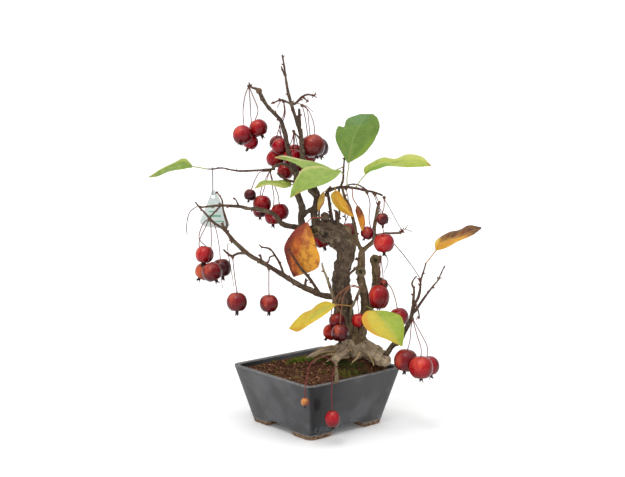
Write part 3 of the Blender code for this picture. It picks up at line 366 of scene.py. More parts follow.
# Limbs, branches and twigs: near at both ends, radius at both ends, then points (across, down).
branches = {
    # Two limbs beside the trunk, their forks and the twig that crosses between them.
    "limbs": (
        ((-20, -10), (5.2, 3.8), (
            (355, 346), (360, 330), (365, 310), (364, 292), (361, 280), (361, 270), (362, 250))),
        ((-26, -16), (5.5, 4.2), ((359, 342), (366, 315), (372, 300), (376, 285), (376, 270), (374, 259))),
        ((-10, 8), (2.3, 1.4), (
            (362, 252), (357, 240), (355, 228), (352, 215), (349, 205), (345, 198), (342, 187))),
        ((-10, 2), (2.6, 1.6), (
            (362, 251), (368, 246), (374, 240), (374, 230), (376, 218), (378, 207), (380, 200.5))),
        ((-5, 4), (1.5, 1.0), ((374, 236), (385, 233.5), (398, 233), (403, 232))),
        ((3, 5), (0.9, 0.7), ((401, 232.5), (405, 229), (408, 225))),
        ((-9, -10), (1.4, 1.4), ((348, 275), (354, 270), (361, 264))),
        ((-10, -8), (1.0, 0.8), ((362, 263), (356, 259))),
        ((-11, -8), (1.0, 0.8), ((361, 280), (355.5, 279))),
        ((-1, 13), (0.7, 0.7), ((388, 233.5), (392, 241), (402, 253), (412, 266), (420.5, 279))),
    ),
    # The long branch to the lower left with its twigs.
    "lowLeft": (
        ((-12, 34), (4.0, 2.2), (
            (342, 299), (334, 297), (321, 295), (310, 290), (300, 285.5), (291, 280), (283, 275),
            (270, 267), (258, 260), (250, 255.5), (240, 247), (232, 239), (226, 231), (222, 227))),
        ((34, 41), (1.7, 0.8), ((224, 229), (213, 222), (205, 213), (200, 208), (195, 201.5))),
        ((33, 29), (1.5, 0.8), ((226, 230), (227, 224), (225, 216), (223, 208), (222, 200), (217, 192))),
        ((33, 38), (1.5, 1.2), ((226, 229), (221, 223))),
        ((31, 34), (1.4, 1.2), ((230, 237), (232, 243.5))),
        ((25, 32), (2.0, 1.2), ((246, 253), (238, 253.5), (232, 256), (227, 253), (223, 249))),
        ((10, 16), (1.7, 0.9), ((284, 275), (280, 264), (275, 255.5), (270, 249), (262, 247), (259, 244.5))),
        ((13, 17), (1.0, 0.9), ((275, 255.5), (270, 257), (269, 261))),
        ((19, 22), (1.6, 1.2), ((262, 262), (260, 254))),
        ((1, 4), (1.8, 1.3), ((305, 287), (306, 278))),
        ((-3, 17), (2.2, 1.3), ((320, 294), (310, 279), (300, 267), (291, 253), (289, 250))),
    ),
    # The branch to the upper left.
    "upperLeft": (
        ((-1, -28), (3.9, 1.3), (
            (311, 229), (295, 227), (285, 225), (280, 222), (275, 215), (268, 212), (258, 209),
            (248, 208.5), (240, 206.5), (232, 206), (223, 205.5), (212, 206), (200, 207.5))),
        ((-19, -17), (1.1, 0.9), ((239, 206.5), (235.5, 199))),
        ((-23, -22), (1.2, 1.0), ((221, 205.5), (212, 215), (210, 217.5))),
        ((-28, -27), (0.9, 0.7), (
            (201, 207.5), (198, 206), (190, 212), (187, 222), (186.5, 230), (187.5, 235))),
    ),
    # Two leaders above the head, joined low down, and the spurs of the fruit.
    "leaders": (
        ((0, -6), (4.6, 3.4), ((304, 233), (301, 218), (302, 208), (299, 198), (296, 188), (297, 171))),
        ((0, 0), (4.8, 3.4), (
            (318, 236), (314, 215), (316, 205), (317, 195), (313, 186), (308, 172), (303, 157))),
        ((-2, 1), (2.8, 2.8), ((300, 219), (307, 212), (314, 208))),
        ((1, 4), (3.4, 2.8), ((316, 196), (308, 189))),
        ((-6, -24), (3.3, 2.2), (
            (297, 174), (290, 158), (288, 150), (286, 138), (284, 130), (281, 121), (275, 114), (268, 107),
            (262, 98))),
        ((-23, -27), (3.4, 0.8), ((263, 100), (258, 90), (251, 87), (248.5, 81.5))),
        ((0, 8), (3.4, 1.0), (
            (303, 159), (302, 148), (301, 135), (298, 124), (294, 113), (291, 103), (288, 92), (286, 80),
            (284, 65), (282, 54))),
        ((6, 8), (1.2, 0.8), ((285, 76), (281, 66))),
        ((2, 5), (2.0, 1.7), ((300, 126), (299, 108))),
        ((1, 5), (1.4, 0.9), ((301, 140), (294, 132))),
        ((3, 9), (1.8, 0.9), ((292, 104), (296, 103), (302, 97), (308, 94.5), (314, 96))),
        ((6, 9), (0.9, 0.8), ((302, 97), (307, 100.5))),
        ((3, -16), (1.6, 0.8), ((291, 104), (287, 102), (281, 100), (274, 102.5))),
        ((-5, -18), (2.4, 1.8), ((298, 179), (290, 168), (284, 164), (277, 165), (271, 170))),
        ((-4, -15), (1.6, 1.3), ((295, 182), (285, 179), (277, 173))),
        ((-17, -38), (1.5, 0.9), (
            (275, 169), (255, 170.5), (240, 171), (232, 170), (222, 168), (213, 169), (207, 169))),
    ),
    # The crown: two risers, the arch to the right and the upright twig.
    "crown": (
        ((2, 7), (2.4, 1.8), ((333, 226), (331, 214), (329, 200), (328, 190), (333, 188))),
        ((6, 15), (1.9, 1.2), (
            (329, 191), (336, 188), (345, 187), (357, 188.5), (365, 190.5), (373, 192), (383, 195.5))),
        ((8, 5), (1.4, 1.4), ((339, 188), (339.5, 212), (338, 224))),
        ((3, 5), (2.8, 2.2), ((338, 226), (336, 210))),
        ((5, 3), (1.4, 1.2), ((328, 190), (320, 205), (319, 221))),
        ((8, 9), (1.5, 1.1), ((340, 188), (343, 180), (343.5, 170), (344.5, 157))),
        ((9, 12), (0.9, 0.9), ((343, 187.5), (350, 184.5), (357, 184.5), (362, 187), (368, 191))),
    ),
    # Shoots from the foot of the trunk.
    "shoots": (
        ((-11, 9), (2.0, 0.9), (
            (350, 335), (345, 320), (338, 310), (334, 300), (328, 281), (323, 268), (322, 262))),
        ((-13, -2), (1.5, 1.0), ((351, 331), (351, 310), (354, 303), (359, 292), (362, 283))),
        ((22, 57), (1.2, 1.5), ((336, 361), (336, 368), (336.5, 376), (336, 383))),
    ),
    # The outer branch that rises from the right root.
    "outer": (
        ((5, 16), (3.6, 2.3), (
            (383, 358), (388, 352), (393, 345), (398, 343), (403, 335), (408, 325), (411, 318), (413, 308),
            (415, 300))),
        ((15, 20), (1.9, 0.9), ((413, 304), (414, 290), (412, 284), (414, 279), (417, 276))),
        ((16, 11), (1.9, 0.8), ((415, 303), (418, 298), (420, 290), (421, 280), (424, 270), (426, 263))),
        ((14, 5), (2.0, 0.9), (
            (411, 315), (416, 310), (420, 304), (427, 294), (434, 285), (438, 280), (445, 265))),
        ((7, 9), (0.9, 0.7), ((437, 281), (442, 277))),
        ((17, 24), (1.2, 0.9), ((414, 302), (418, 310), (419.5, 318))),
    ),
}
# Burrs where wood was cut: (across, down, near, radius).
burrs = (
    (325, 235, 7, 7.5), (346, 231, 5, 6), (361, 272, -8, 5.2), (375, 260, -14, 5.6), (325, 217, 4, 5),
    (386, 361, 12, 5), (364, 291, -9, 4), (259, 91, -24, 3.3), (346, 300, -8, 4), (338, 285, -6, 4),
)


woodLook = {
    "step": 1.1,  # mm between the rings of a branch
    "sides": 14,
    "twigSides": 8,
    "voxel": 0.62,
    "thick": 2.0,  # branches from this radius up are limbs, and thinner ones are twigs
    "stalk": 0.7,  # branches up to this radius at the end are bare fruit stalks
    "shootLift": 2.5,  # mm that the shoots in front of the trunk stand off it
    "slim": 0.84,  # radius of the branches as a share of the solid's
    "slimOf": {"limbs": 1.0, "shoots": 1.25},  # groups that have a share of their own
    "stalkRadius": (0.55, 0.4),  # at the start and the end, as in the next two
    "hairRadius": (0.45, 0.32),
    "dryRadius": (1.5, 0.6),
    "dryStep": 1.0,
    "young": (0.9, 2.2),  # radius where wood has the tone of its tip, and where it has its own tone
    "budded": 2.3,  # branches up to this radius at the end carry buds
    "unevenness": 0.2,
    "ridge": 0.12,  # height of the bark's ridges as a share of the radius
    "sunk": 0.5,  # share of a ridge that lies inside the plain round branch
    "ridgeLimits": (0.12, 1.15),
    "budEvery": (6.0, 12.0),
    "tones": {
        "trunk": tone(84, 69, 56),
        "roots": tone(176, 156, 130),
        "limbs": tone(118, 98, 72),
        "lowLeft": tone(84, 67, 53),
        "upperLeft": tone(84, 70, 55),
        "leaders": tone(78, 63, 52),
        "crown": tone(76, 62, 50),
        "shoots": tone(104, 90, 64),
        "outer": tone(80, 64, 54),
        "tips": tone(84, 54, 44),
        "pale": tone(176, 160, 132),
        "olive": tone(84, 76, 44),
        "dry": tone(176, 148, 108),
        "hair": tone(112, 76, 70),
        "buds": tone(112, 50, 42),
        # lighter crests of the ridges: partly wear, partly a painted highlight
        "crestWearAndHighlight": tone(142, 126, 103),
        "lichen": tone(120, 112, 88),
        # painted shade in the cracks and in the hollows of the scars
        "crackShade": tone(26, 20, 17),
        # darker bark in random patches
        "darkPatch": tone(52, 40, 33),
    },
}
# Ringed scars, knots and pale cuts: across, down, radius, height of the ring, depth inside and tone.
scars = (
    (326, 235, 4.6, 1.0, 1.6, "trunk"), (330, 241, 2.4, 0.3, 0.4, "pale"),
    (314, 231, 4.2, 0.6, 0.9, "olive"), (361, 272, 3.6, 0.9, 1.3, "olive"),
    (375, 260, 3.8, 0.9, 1.3, "olive"),
)
# Bare stalks as thin as hair that the fallen fruit left: their ways, then the near at both ends.
hairs = (
    (((383, 197), (390, 209), (397, 222), (402, 230)), (15, 4)),
    (((228, 243), (228, 252), (232, 275), (234, 287)), (33, 35)),
    (((386, 255), (388, 262), (384, 273)), (13, 14)),
    (((213, 263), (222, 270), (221.5, 280), (223, 289)), (-10, -6)),
    (((373, 192), (378, 205), (384, 214), (391, 219)), (14, 16)),
    (((405, 229), (412, 231.5)), (5, 8)),
    (((296, 103), (306, 106), (313, 112)), (6, 9)),
    (((281, 100), (277, 108)), (-10, -12)),
)
# Thin dry roots over the soil on the left: (across, down, near) from the trunk outward.
dryRoots = (
    ((342, 347, -20), (330, 346.5, -24), (318, 350, -30), (309, 356, -34), (303, 361, -38)),
    ((344, 351, -12), (333, 351.5, -14), (322, 353, -20), (314, 357, -24), (308, 362, -28)),
    ((346, 355, -4), (336, 354, 0), (327, 355, 0), (318, 359, -6), (313, 364, -8)),
    ((349, 357, 0), (341, 358, 6), (333, 358, 8), (326, 362, 6)),
    ((352, 350, -6), (345, 349, -4), (338, 352, -4), (331, 357, -2)),
    ((360, 352, -4), (357, 358, 2), (352, 363, 6), (349, 369, 8)),
    ((368, 355, -2), (372, 360, 4), (374, 366, 6)),
)
# Dried bud and stalk clusters: across, down, near and how far they reach.
clusters = (
    (314, 95.5, 9, 4.0), (307, 101, 8, 3.0), (303, 97, 7, 3.0), (274, 102, -16, 3.5), (281, 100, -8, 3.0),
    (402, 231, 4, 4.5), (419, 279, 20, 3.5), (415, 306, 17, 4.0), (418, 317, 22, 3.5), (336, 383, 56, 2.6),
    (234, 199, -17, 2.6), (268, 262, 17, 2.6), (217, 192, 29, 2.2), (290, 250, 17, 2.4), (356, 259, -8, 2.6),
    (322, 217, 3, 4.0), (330, 214, 2, 4.6), (338, 214, 1, 4.6), (345, 217, -2, 4.0), (326, 215, 6, 3.0),
)


def shared(points, near, radius):
    # Places (across, down) with near and radius shared out along the way.
    lengths = [0.0]
    for before, after in zip(points, points[1:]):
        lengths.append(lengths[-1] + math.dist(before, after))
    places = []
    for point, length in zip(points, lengths):
        share = length / lengths[-1]
        depth = near[0] + (near[1] - near[0]) * share
        places.append(withRadius(seen((*point, depth)), radius[0] + (radius[1] - radius[0]) * share))
    return places


def grown(way, seed):
    # A way with an uneven radius and a rounded end.
    result = []
    for number, point in enumerate(way):
        bump = noise.noise(Vector((number * 0.23, seed * 7.1, 0.0)))
        radius = point[3] * (1 + woodLook["unevenness"] * bump)
        left = (way[-1].xyz - point.xyz).length
        if left < radius:
            radius *= max(0.35, math.sqrt(max(0.0, 1 - (1 - left / radius) ** 2)))
        result.append(Vector((*point.xyz, radius)))
    return result


def stationsOf(way, number, shade, tip):
    # Along a way: place, radius, two directions across it, length so far, and the bark's tone.
    result = []
    length = 0.0
    side = Vector((0.31, 0.77, 0.55))
    for index, point in enumerate(way):
        ahead = (way[min(index + 1, len(way) - 1)].xyz - way[max(index - 1, 0)].xyz).normalized()
        side = (side - ahead * side.dot(ahead)).normalized()
        if index:
            length += (point.xyz - way[index - 1].xyz).length / mm
        young = 1 - eased(point[3] / mm, *woodLook["young"])
        mixed = [a + (b - a) * 0.6 * young for a, b in zip(shade, tip)]
        result.append((point.xyz, point[3] / mm, side.copy(), ahead.cross(side), length, number, mixed))
    return result


def budsAlong(way, rng):
    # Short pointed buds that stand off a twig on one side and then the other.
    buds = []
    travelled = rng.uniform(2.0, 6.0)
    turn = rng.uniform(0, fullTurn)
    for before, point, after in zip(way, way[1:], way[2:]):
        travelled -= (point.xyz - before.xyz).length / mm
        if travelled > 0:
            continue
        travelled = rng.uniform(*woodLook["budEvery"])
        turn += 2.4
        ahead = (after.xyz - before.xyz).normalized()
        side = ahead.orthogonal().normalized()
        out = side * math.cos(turn) + ahead.cross(side) * math.sin(turn)
        size = min(point[3], 1.3 * mm)
        start = point.xyz + out * point[3] * 0.5
        lean = (ahead * 0.75 + out).normalized()
        buds.append([
            Vector((*(start + lean * size * reach), size * wide))
            for reach, wide in ((0.0, 0.8), (0.9, 0.72), (1.7, 0.5), (2.4, 0.12))])
    return buds


def clusterWays(centre, reach, rng):
    # A dried cluster: short crooked ends that spread from one place.
    ways = []
    for _ in range(7):
        out = Vector([rng.gauss(0, 1) for _ in range(3)]).normalized()
        bend = Vector([rng.gauss(0, 0.3) for _ in range(3)])
        far = centre + out * reach * rng.uniform(0.6, 1.0) * mm
        ways.append([
            withRadius(centre, 0.7),
            withRadius(centre.lerp(far, 0.5) + bend * mm, 0.5),
            withRadius(far, 0.42)])
    return ways


def struck(tree, side, down):
    # The place and normal of the wood that stands in front at a place of the sheet.
    place, normal, _, _ = tree.ray_cast(eye, (seen((side, down, 0)) - eye).normalized())
    return place, normal


def surfaceOf(*pieces):
    points, faces = [], []
    for piece in pieces:
        start = len(points)
        points.extend(vertex.co.copy() for vertex in piece.data.vertices)
        faces.extend([start + index for index in polygon.vertices] for polygon in piece.data.polygons)
    return BVHTree.FromPolygons(points, faces)


def dressBark(piece, stations, marks):
    # Raises ridges that run along each branch, presses the scars in, and keeps the tone and grain.
    finder = KDTree(len(stations))
    for index, station in enumerate(stations):
        finder.insert(station[0], index)
    finder.balance()
    mesh = piece.data
    places, grains, tones, heights = [], [], [], []
    low, high = woodLook["ridgeLimits"]
    for vertex in mesh.vertices:
        place, normal = vertex.co.copy(), vertex.normal.copy()
        best = min(finder.find_n(place, 7), key=lambda found: found[2] / mm - stations[found[1]][1])
        centre, radius, side, other, length, number, shade = stations[best[1]]
        off = (place - centre) / mm
        around = Vector((off.dot(side), off.dot(other), length * 0.2 + number * 31.7))
        pitch = 0.9 / (1 + radius * 0.22)
        ridge = 1 - 2.4 * abs(noise.noise(around * pitch))
        lump = noise.noise(place / mm * 0.16)
        fine = noise.noise(around * 2.1)
        height = 0.62 * ridge + 0.55 * lump + 0.22 * fine
        amount = min(max(radius * woodLook["ridge"], low), high)
        shift = (height - woodLook["sunk"]) * amount
        shade = list(shade)
        for spot, facing, size, ring, depth, name in marks:
            away = (place - spot) / mm
            if away.length > size * 2:
                continue
            flat = (away - facing * away.dot(facing)).length * (1 + 0.4 * noise.noise(place / mm * 0.3))
            if normal.dot(facing) < -0.1:
                continue
            rim = math.exp(-((flat - size) / (size * 0.24)) ** 2)
            inside = 1 - eased(flat, size * 0.45, size * 0.95)
            swirl = 0.4 * noise.noise(place / mm * 0.9)
            shift += ring * rim - depth * inside + swirl * inside
            reach = 1 - eased(flat, size * 0.9, size * 1.35)
            shade = [a + (b - a) * 0.75 * reach for a, b in zip(shade, woodLook["tones"][name])]
            # The kept height paints the scar's rim lighter and, but for pale cuts, its hollow darker:
            # painted highlight and painted shade.
            height += rim * 0.5 - inside * (0.9 if name != "pale" else -0.1)
        places.append(place + normal * shift * mm)
        grains.append(around)
        tones.append(shade)
        heights.append(height)
    for vertex, place in zip(mesh.vertices, places):
        vertex.co = place
    mesh.update()
    keep(mesh, "grain", "FLOAT_VECTOR", grains)
    keep(mesh, "barkTone", "FLOAT_COLOR", tones)
    keep(mesh, "height", "FLOAT", heights)


def barkPaint():
    tones = woodLook["tones"]
    paint = Paint("bark", {"Roughness": 0.82, "Specular IOR Level": 0.3})
    grain = paint.kept("grain", 1)
    height = paint.kept("height", 2)
    base = paint.kept("barkTone", 0)
    streaks = paint.noise(grain, 1.1, 8.0)
    patches = paint.noise(grain, 4.5, 5.0)
    # Painted shade: the cracks of the bark and the hollows of the scars darker.
    cracks = paint.smooth(height * 0.8 + (streaks - 0.5) * 2.4, 0.15, -0.7)
    # Painted highlight on the crests of the ridges, along with their wear.
    crests = paint.smooth(height + (streaks - 0.5) * 2.6, 0.3, 1.1)
    crestWearAndHighlight = paint.mix(crests * 0.5, base, tones["crestWearAndHighlight"])
    lichen = paint.smooth(patches, 0.54, 0.68)
    grown = paint.mix(lichen * 0.4, crestWearAndHighlight, tones["lichen"])
    dark = paint.mix(cracks * 0.85, grown, tones["crackShade"])
    shaded = paint.mix(paint.smooth(patches, 0.52, 0.36) * 0.4, dark, tones["darkPatch"])
    paint.drive("Base Color", shaded)
    paint.bump(streaks + patches * 0.4, 0.0005, 0.7)
    return paint.material


class Growth:
    # The ways of one piece of wood, and the stations along them that its bark follows.
    def __init__(self):
        self.ways = []
        self.stations = []

    def add(self, way, number, shade, tip):
        self.ways.append(way)
        self.stations.extend(stationsOf(way, number, shade, tip))


def growTrunk(stock, numbers):
    tones = woodLook["tones"]
    for group, routes in (("trunk", (trunk,)), ("roots", roots), ("roots", lowStubs)):
        for route in routes:
            number = next(numbers)
            points = [withRadius(seen(point), point[3]) for point in route]
            way = grown(smoothWay(points, woodLook["step"] * mm), number)
            stock.add(way, number, tones[group], tones[group])


def growBranches(stock, limbs, twigs, numbers, rng):
    # Adds each branch to the piece that it belongs to, and returns the buds along them.
    tones = woodLook["tones"]
    buds = []
    for group, routes in branches.items():
        slim = woodLook["slimOf"].get(group, woodLook["slim"])
        lift = woodLook["shootLift"] if group == "shoots" else 0.0
        for near, radius, points in routes:
            number = next(numbers)
            stalk = radius[1] <= woodLook["stalk"]
            ends = woodLook["stalkRadius"] if stalk else (radius[0] * slim, radius[1] * slim)
            depths = [depth + lift for depth in near]
            way = grown(smoothWay(shared(points, depths, ends), woodLook["step"] * mm), number)
            tip = tones["pale"] if group == "shoots" else tones["hair" if stalk else "tips"]
            if radius[0] < woodLook["thick"]:
                part = twigs
            else:
                part = stock if group == "limbs" else limbs
            part.add(way, number, tones[group], tip)
            if radius[1] < woodLook["budded"] and not stalk:
                buds.extend(budsAlong(way[len(way) // 5:], rng))
    return buds


def growTwigs(twigs, buds, numbers, rng):
    # Adds the bare stalks, the dry roots, the dried clusters and the buds.
    tones = woodLook["tones"]
    for points, near in hairs:
        way = smoothWay(shared(points, near, woodLook["hairRadius"]), woodLook["step"] * mm)
        twigs.add(way, next(numbers), tones["hair"], tones["hair"])
    for route in dryRoots:
        number = next(numbers)
        places = shared([point[:2] for point in route], (route[0][2], route[-1][2]), woodLook["dryRadius"])
        way = grown(smoothWay(places, woodLook["dryStep"] * mm), number)
        twigs.add(way, number, tones["dry"], tones["dry"])
    for side, down, near, reach in clusters:
        for way in clusterWays(seen((side, down, near)), reach, rng):
            twigs.add(way, next(numbers), tones["buds"], tones["buds"])
    number = next(numbers)
    for bud in buds:
        twigs.add(bud, number, tones["tips"], tones["buds"])


def makeBurrs():
    knobs = []
    for side, down, near, radius in burrs:
        place = seen((side, down, near))
        bpy.ops.mesh.primitive_ico_sphere_add(subdivisions=3, radius=radius * mm, location=place)
        knobs.append(settled(bpy.context.object))
    return knobs


def scarsOn(surface):
    # Each scar with the place and direction that it has on the wood.
    marks = []
    for side, down, size, ring, depth, name in scars:
        spot, facing = struck(surface, side, down)
        if spot is not None:
            marks.append((spot, facing, size, ring, depth, name))
    return marks


def makeWood():
    rng = random.Random(12)
    numbers = itertools.count()
    stock, limbs, twigs = Growth(), Growth(), Growth()
    growTrunk(stock, numbers)
    buds = growBranches(stock, limbs, twigs, numbers, rng)
    growTwigs(twigs, buds, numbers, rng)
    stem = joined("woodTrunk", [tubes("woodTrunk", stock.ways, woodLook["sides"]), *makeBurrs()])
    thick = tubes("woodLimbs", limbs.ways, woodLook["sides"])
    thin = tubes("woodTwigs", twigs.ways, woodLook["twigSides"])
    for piece in (stem, thick):
        finishWith(piece, "REMESH", mode="VOXEL", voxel_size=woodLook["voxel"] * mm)
        finishWith(piece, "SMOOTH", factor=0.5, iterations=5)
    marks = scarsOn(surfaceOf(stem, thick))
    paint = barkPaint()
    for piece, growth, found in ((stem, stock, marks), (thick, limbs, marks), (thin, twigs, [])):
        dressBark(piece, growth.stations, found)
        softened(painted(piece, paint), 180)
        show(piece, "bark", "wood")
    print("wood made:", [len(piece.data.polygons) for piece in (stem, thick, thin)], "faces")
    return surfaceOf(stem, thick, thin)


woodSurface = makeWood()


def pushedOut(point, distance):
    # The point, moved away from the wood until it is the distance in metres from it.
    for _ in range(4):
        place, normal, _, away = woodSurface.find_nearest(point)
        if (point - place).dot(normal) > 0 and away >= distance:
            return point
        point = place + normal * (distance * 1.02)
    return point


def seated(point, size):
    # The place of a small knob of the size in mm that sits on the wood nearest to the point.
    place, normal, _, _ = woodSurface.find_nearest(point)
    return place + normal * size * mm


potLook = {
    "base": (93.0, 97.0),  # mm along X and Y at the soles
    "height": 59.0,
    "wall": 4.5,
    "corner": 5.8,
    "rounding": 1.3,
    "clayBand": 4.2,
    "glaze": tone(62, 62, 64),
    # painted reflection, in broad lighter patches
    "sheen": tone(80, 80, 82),
    # painted shade on the right face toward the front corner
    "deep": tone(26, 26, 29),
    # Lighter glaze on the rounded edges, partly thin glaze and partly a painted highlight brightest along
    # the top lip; also the real thin glaze just above the bare clay.
    "thin": tone(134, 130, 126),
    "clay": tone(146, 118, 92),
    "bloom": tone(96, 106, 110),
    "burnt": tone(88, 66, 50),
}


def innerSize(height, inset):
    # The pot's size in mm along X and Y at a height, less an inset at each side.
    top = ((potHigh.x - potLow.x) / mm, (potHigh.y - potLow.y) / mm)
    share = height / potLook["height"]
    return tuple(low + (high - low) * share - 2 * inset for low, high in zip(potLook["base"], top))


def glazePaint(name, thin):
    # The dark glaze with a painted reflection in lighter patches, painted shade toward the front corner, and
    # edges lighter from thin glaze and a painted highlight that is brightest along the top lip; and the bare
    # clay below it.
    paint = Paint(name, {"Coat Weight": 0.1, "Coat Roughness": 0.05, "Specular IOR Level": 0.25})
    where = paint.place()
    height = paint.split(where, 2)
    facing = abs(paint.split(paint.node("ShaderNodeTexCoord", output=1), 0))
    broad = paint.noise(where, 0.03, 3.0)
    fine = paint.noise(where, 0.0035, 5.0)
    swell = paint.noise(where, 0.022, 0.5)
    pits = paint.smooth(paint.cells(where, 0.011), 0.2, 0.1) * paint.smooth(broad, 0.5, 0.56)
    # Painted reflection: lighter sheen in broad patches of the glaze.
    body = paint.mix(paint.smooth(broad, 0.4, 0.65), potLook["glaze"], potLook["sheen"])
    # Painted shade: the side faces along X darkened toward their -Y end, which shades the right face toward
    # the front corner.
    corner = paint.smooth(paint.split(where, 1), potLow.y + 0.07, potLow.y + 0.004)
    body = paint.mix(corner * paint.smooth(facing, 0.5, 0.85), body, potLook["deep"])
    # Painted highlight: the rounded edges a little lighter, and much lighter along the top lip.
    if thin:
        rim = paint.smooth(height, potLook["height"] * mm - 0.004, potLook["height"] * mm - 0.001)
        speckled = 0.55 + paint.smooth(fine, 0.34, 0.6) * 0.45
        body = paint.mix(speckled * (0.1 + rim * 0.55), body, potLook["thin"])
    low = paint.smooth(height, 0.021, 0.008)
    bloom = paint.smooth(fine * 0.5 + broad * 0.6, 0.56, 0.66) * low
    body = paint.mix(bloom * 0.45, body, potLook["bloom"])
    edge = height + (paint.noise(where, 0.006, 3.0) - 0.5) * 0.0035
    band = potLook["clayBand"] * mm
    lip = paint.smooth(edge, band + 0.0016, band + 0.0004)
    body = paint.mix(lip * 0.7, body, potLook["thin"])
    bare = paint.smooth(edge, band + 0.0004, band - 0.0002)
    clay = paint.mix(paint.smooth(fine, 0.35, 0.65), potLook["clay"], potLook["burnt"])
    paint.drive("Base Color", paint.mix(bare, body, clay))
    paint.drive("Roughness", 0.32 + broad * 0.08 + bare * 0.5)
    paint.bump(swell * 3.0 + pits * 0.8 + bare * paint.noise(where, 0.0012, 3.0), 0.0006, 0.45)
    return paint.material


def makePot():
    # The CAD pot with its flat faces merged and its edges rounded.
    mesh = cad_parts["pot"].data.copy()
    mesh.materials.clear()
    pot = outward(shown("potGlazed", mesh))
    editingAll(pot)
    bpy.ops.mesh.dissolve_limited(angle_limit=math.radians(1.0))
    objectMode()
    pot.data.materials.append(glazePaint("pot glaze", False))
    pot.data.materials.append(glazePaint("glaze with painted edge highlight", True))
    finishWith(
        pot, "BEVEL", width=potLook["rounding"] * mm, segments=3, limit_method="ANGLE",
        angle_limit=math.radians(38), material=1)
    softened(pot, 40)
    show(pot, "pot_glaze", "pot")
    print("pot made:", len(pot.data.polygons), "faces")


makePot()

# Heights above the floor, and sizes, in mm.
soilLook = {
    "level": 54.0,
    "mound": 15.0,
    "moundAt": (16.0, 28.0),
    "moundWidth": 46.0,
    "margin": 16.0,
    "cells": 120,
    "deep": 38.0,
    "gap": 0.15,  # mm between the bed and the pot's walls
    "clear": 0.6,  # mm that the granules stay off the walls
    "granules": 1500,
    "size": (0.8, 1.9),
    "earth": tone(70, 44, 30),
    "loam": tone(112, 76, 56),
    "tan": tone(168, 128, 88),
    "olive": tone(112, 104, 54),
}
mossLook = {
    "bright": tone(110, 124, 38),
    "green": tone(86, 108, 32),
    # painted shade, for the moss under the roots in front of the trunk
    "deep": tone(38, 52, 22),
    "olive": tone(96, 90, 40),
    "tips": tone(140, 138, 66),
    "dome": 1.6,  # height in mm of a patch's middle over its edge
    "clear": 1.6,  # mm that the tufts stay off the walls
    # Each patch: across, down, size in mm, number of tufts and tone.
    "patches": (
        (262, 360, 7, 60, "bright"), (272, 362, 5, 40, "olive"), (300, 360, 11, 170, "bright"),
        (311, 358, 10, 140, "green"), (318, 360, 6, 60, "green"), (333, 362, 8, 90, "deep"),
        # The deep patches below the trunk are painted shade, where the moss lies under the roots.
        (348, 366, 10, 140, "deep"), (360, 368, 7, 80, "deep"), (345, 376, 6, 60, "olive"),
        (284, 358, 5, 40, "olive"), (292, 362, 6, 60, "green"), (358, 376, 5, 40, "olive"),
    ),
}


def soilHeight(x, y):
    # The height in mm of the soil at a place of the pot in mm.
    half = [size / 2 for size in innerSize(soilLook["level"], potLook["wall"])]
    rounded = eased(min(half[0] - abs(x), half[1] - abs(y)), 0.0, soilLook["margin"])
    away = (x - soilLook["moundAt"][0]) ** 2 + (y - soilLook["moundAt"][1]) ** 2
    return soilLook["level"] + soilLook["mound"] * rounded * math.exp(-away / soilLook["moundWidth"] ** 2)


def insideRim(x, y, half, corner):
    # The place, kept inside a rectangle with round corners.
    over = Vector((abs(x) - half[0] + corner, abs(y) - half[1] + corner))
    if over.x > 0 and over.y > 0 and over.length > corner:
        over *= corner / over.length
        x = math.copysign(half[0] - corner + over.x, x)
        y = math.copysign(half[1] - corner + over.y, y)
    return x, y


def soilPaint():
    paint = Paint("soil", {"Roughness": 0.95, "Specular IOR Level": 0.2})
    where = paint.place()
    crumb = paint.noise(where, 0.0022, 5.0)
    patch = paint.noise(where, 0.012, 3.0)
    own = paint.kept("own", 2)
    mixed = paint.mix(paint.smooth(crumb + (own - 0.5) * 0.9, 0.3, 0.7), soilLook["earth"], soilLook["loam"])
    mixed = paint.mix(paint.smooth(own + (crumb - 0.5) * 0.5, 0.78, 0.95) * 0.8, mixed, soilLook["tan"])
    mixed = paint.mix(paint.smooth(patch, 0.55, 0.68) * 0.5, mixed, soilLook["olive"])
    paint.drive("Base Color", mixed)
    paint.bump(crumb, 0.0012, 0.9)
    return paint.material


def makeBed(half, low):
    # The soil's uneven top, and its sides down along the pot's walls.
    cells = soilLook["cells"]
    bpy.ops.mesh.primitive_grid_add(x_subdivisions=cells, y_subdivisions=cells, size=1)
    bed = named(bpy.context.object, "soilBed")
    for vertex in bed.data.vertices:
        x, y = insideRim(vertex.co.x * 2 * half[0], vertex.co.y * 2 * half[1], half, potLook["corner"])
        crumb = noise.noise(Vector((x, y, 0.0)) * 0.5) * 0.7 + noise.noise(Vector((x, y, 9.0)) * 1.3) * 0.5
        vertex.co = Vector((x, y, soilHeight(x, y) + crumb)) * mm + potMiddle
    editingAll(bed)
    bpy.ops.mesh.extrude_region_move(TRANSFORM_OT_translate={"value": (0.0, 0.0, -0.01)})
    objectMode()
    for vertex in bed.data.vertices:
        if vertex.select:
            offset = vertex.co - potMiddle
            vertex.co = potMiddle + Vector((
                offset.x * low[0] / half[0], offset.y * low[1] / half[1], soilLook["deep"] * mm))
    outward(bed)
    keep(bed.data, "own", "FLOAT", [0.4] * len(bed.data.vertices))
    return bed


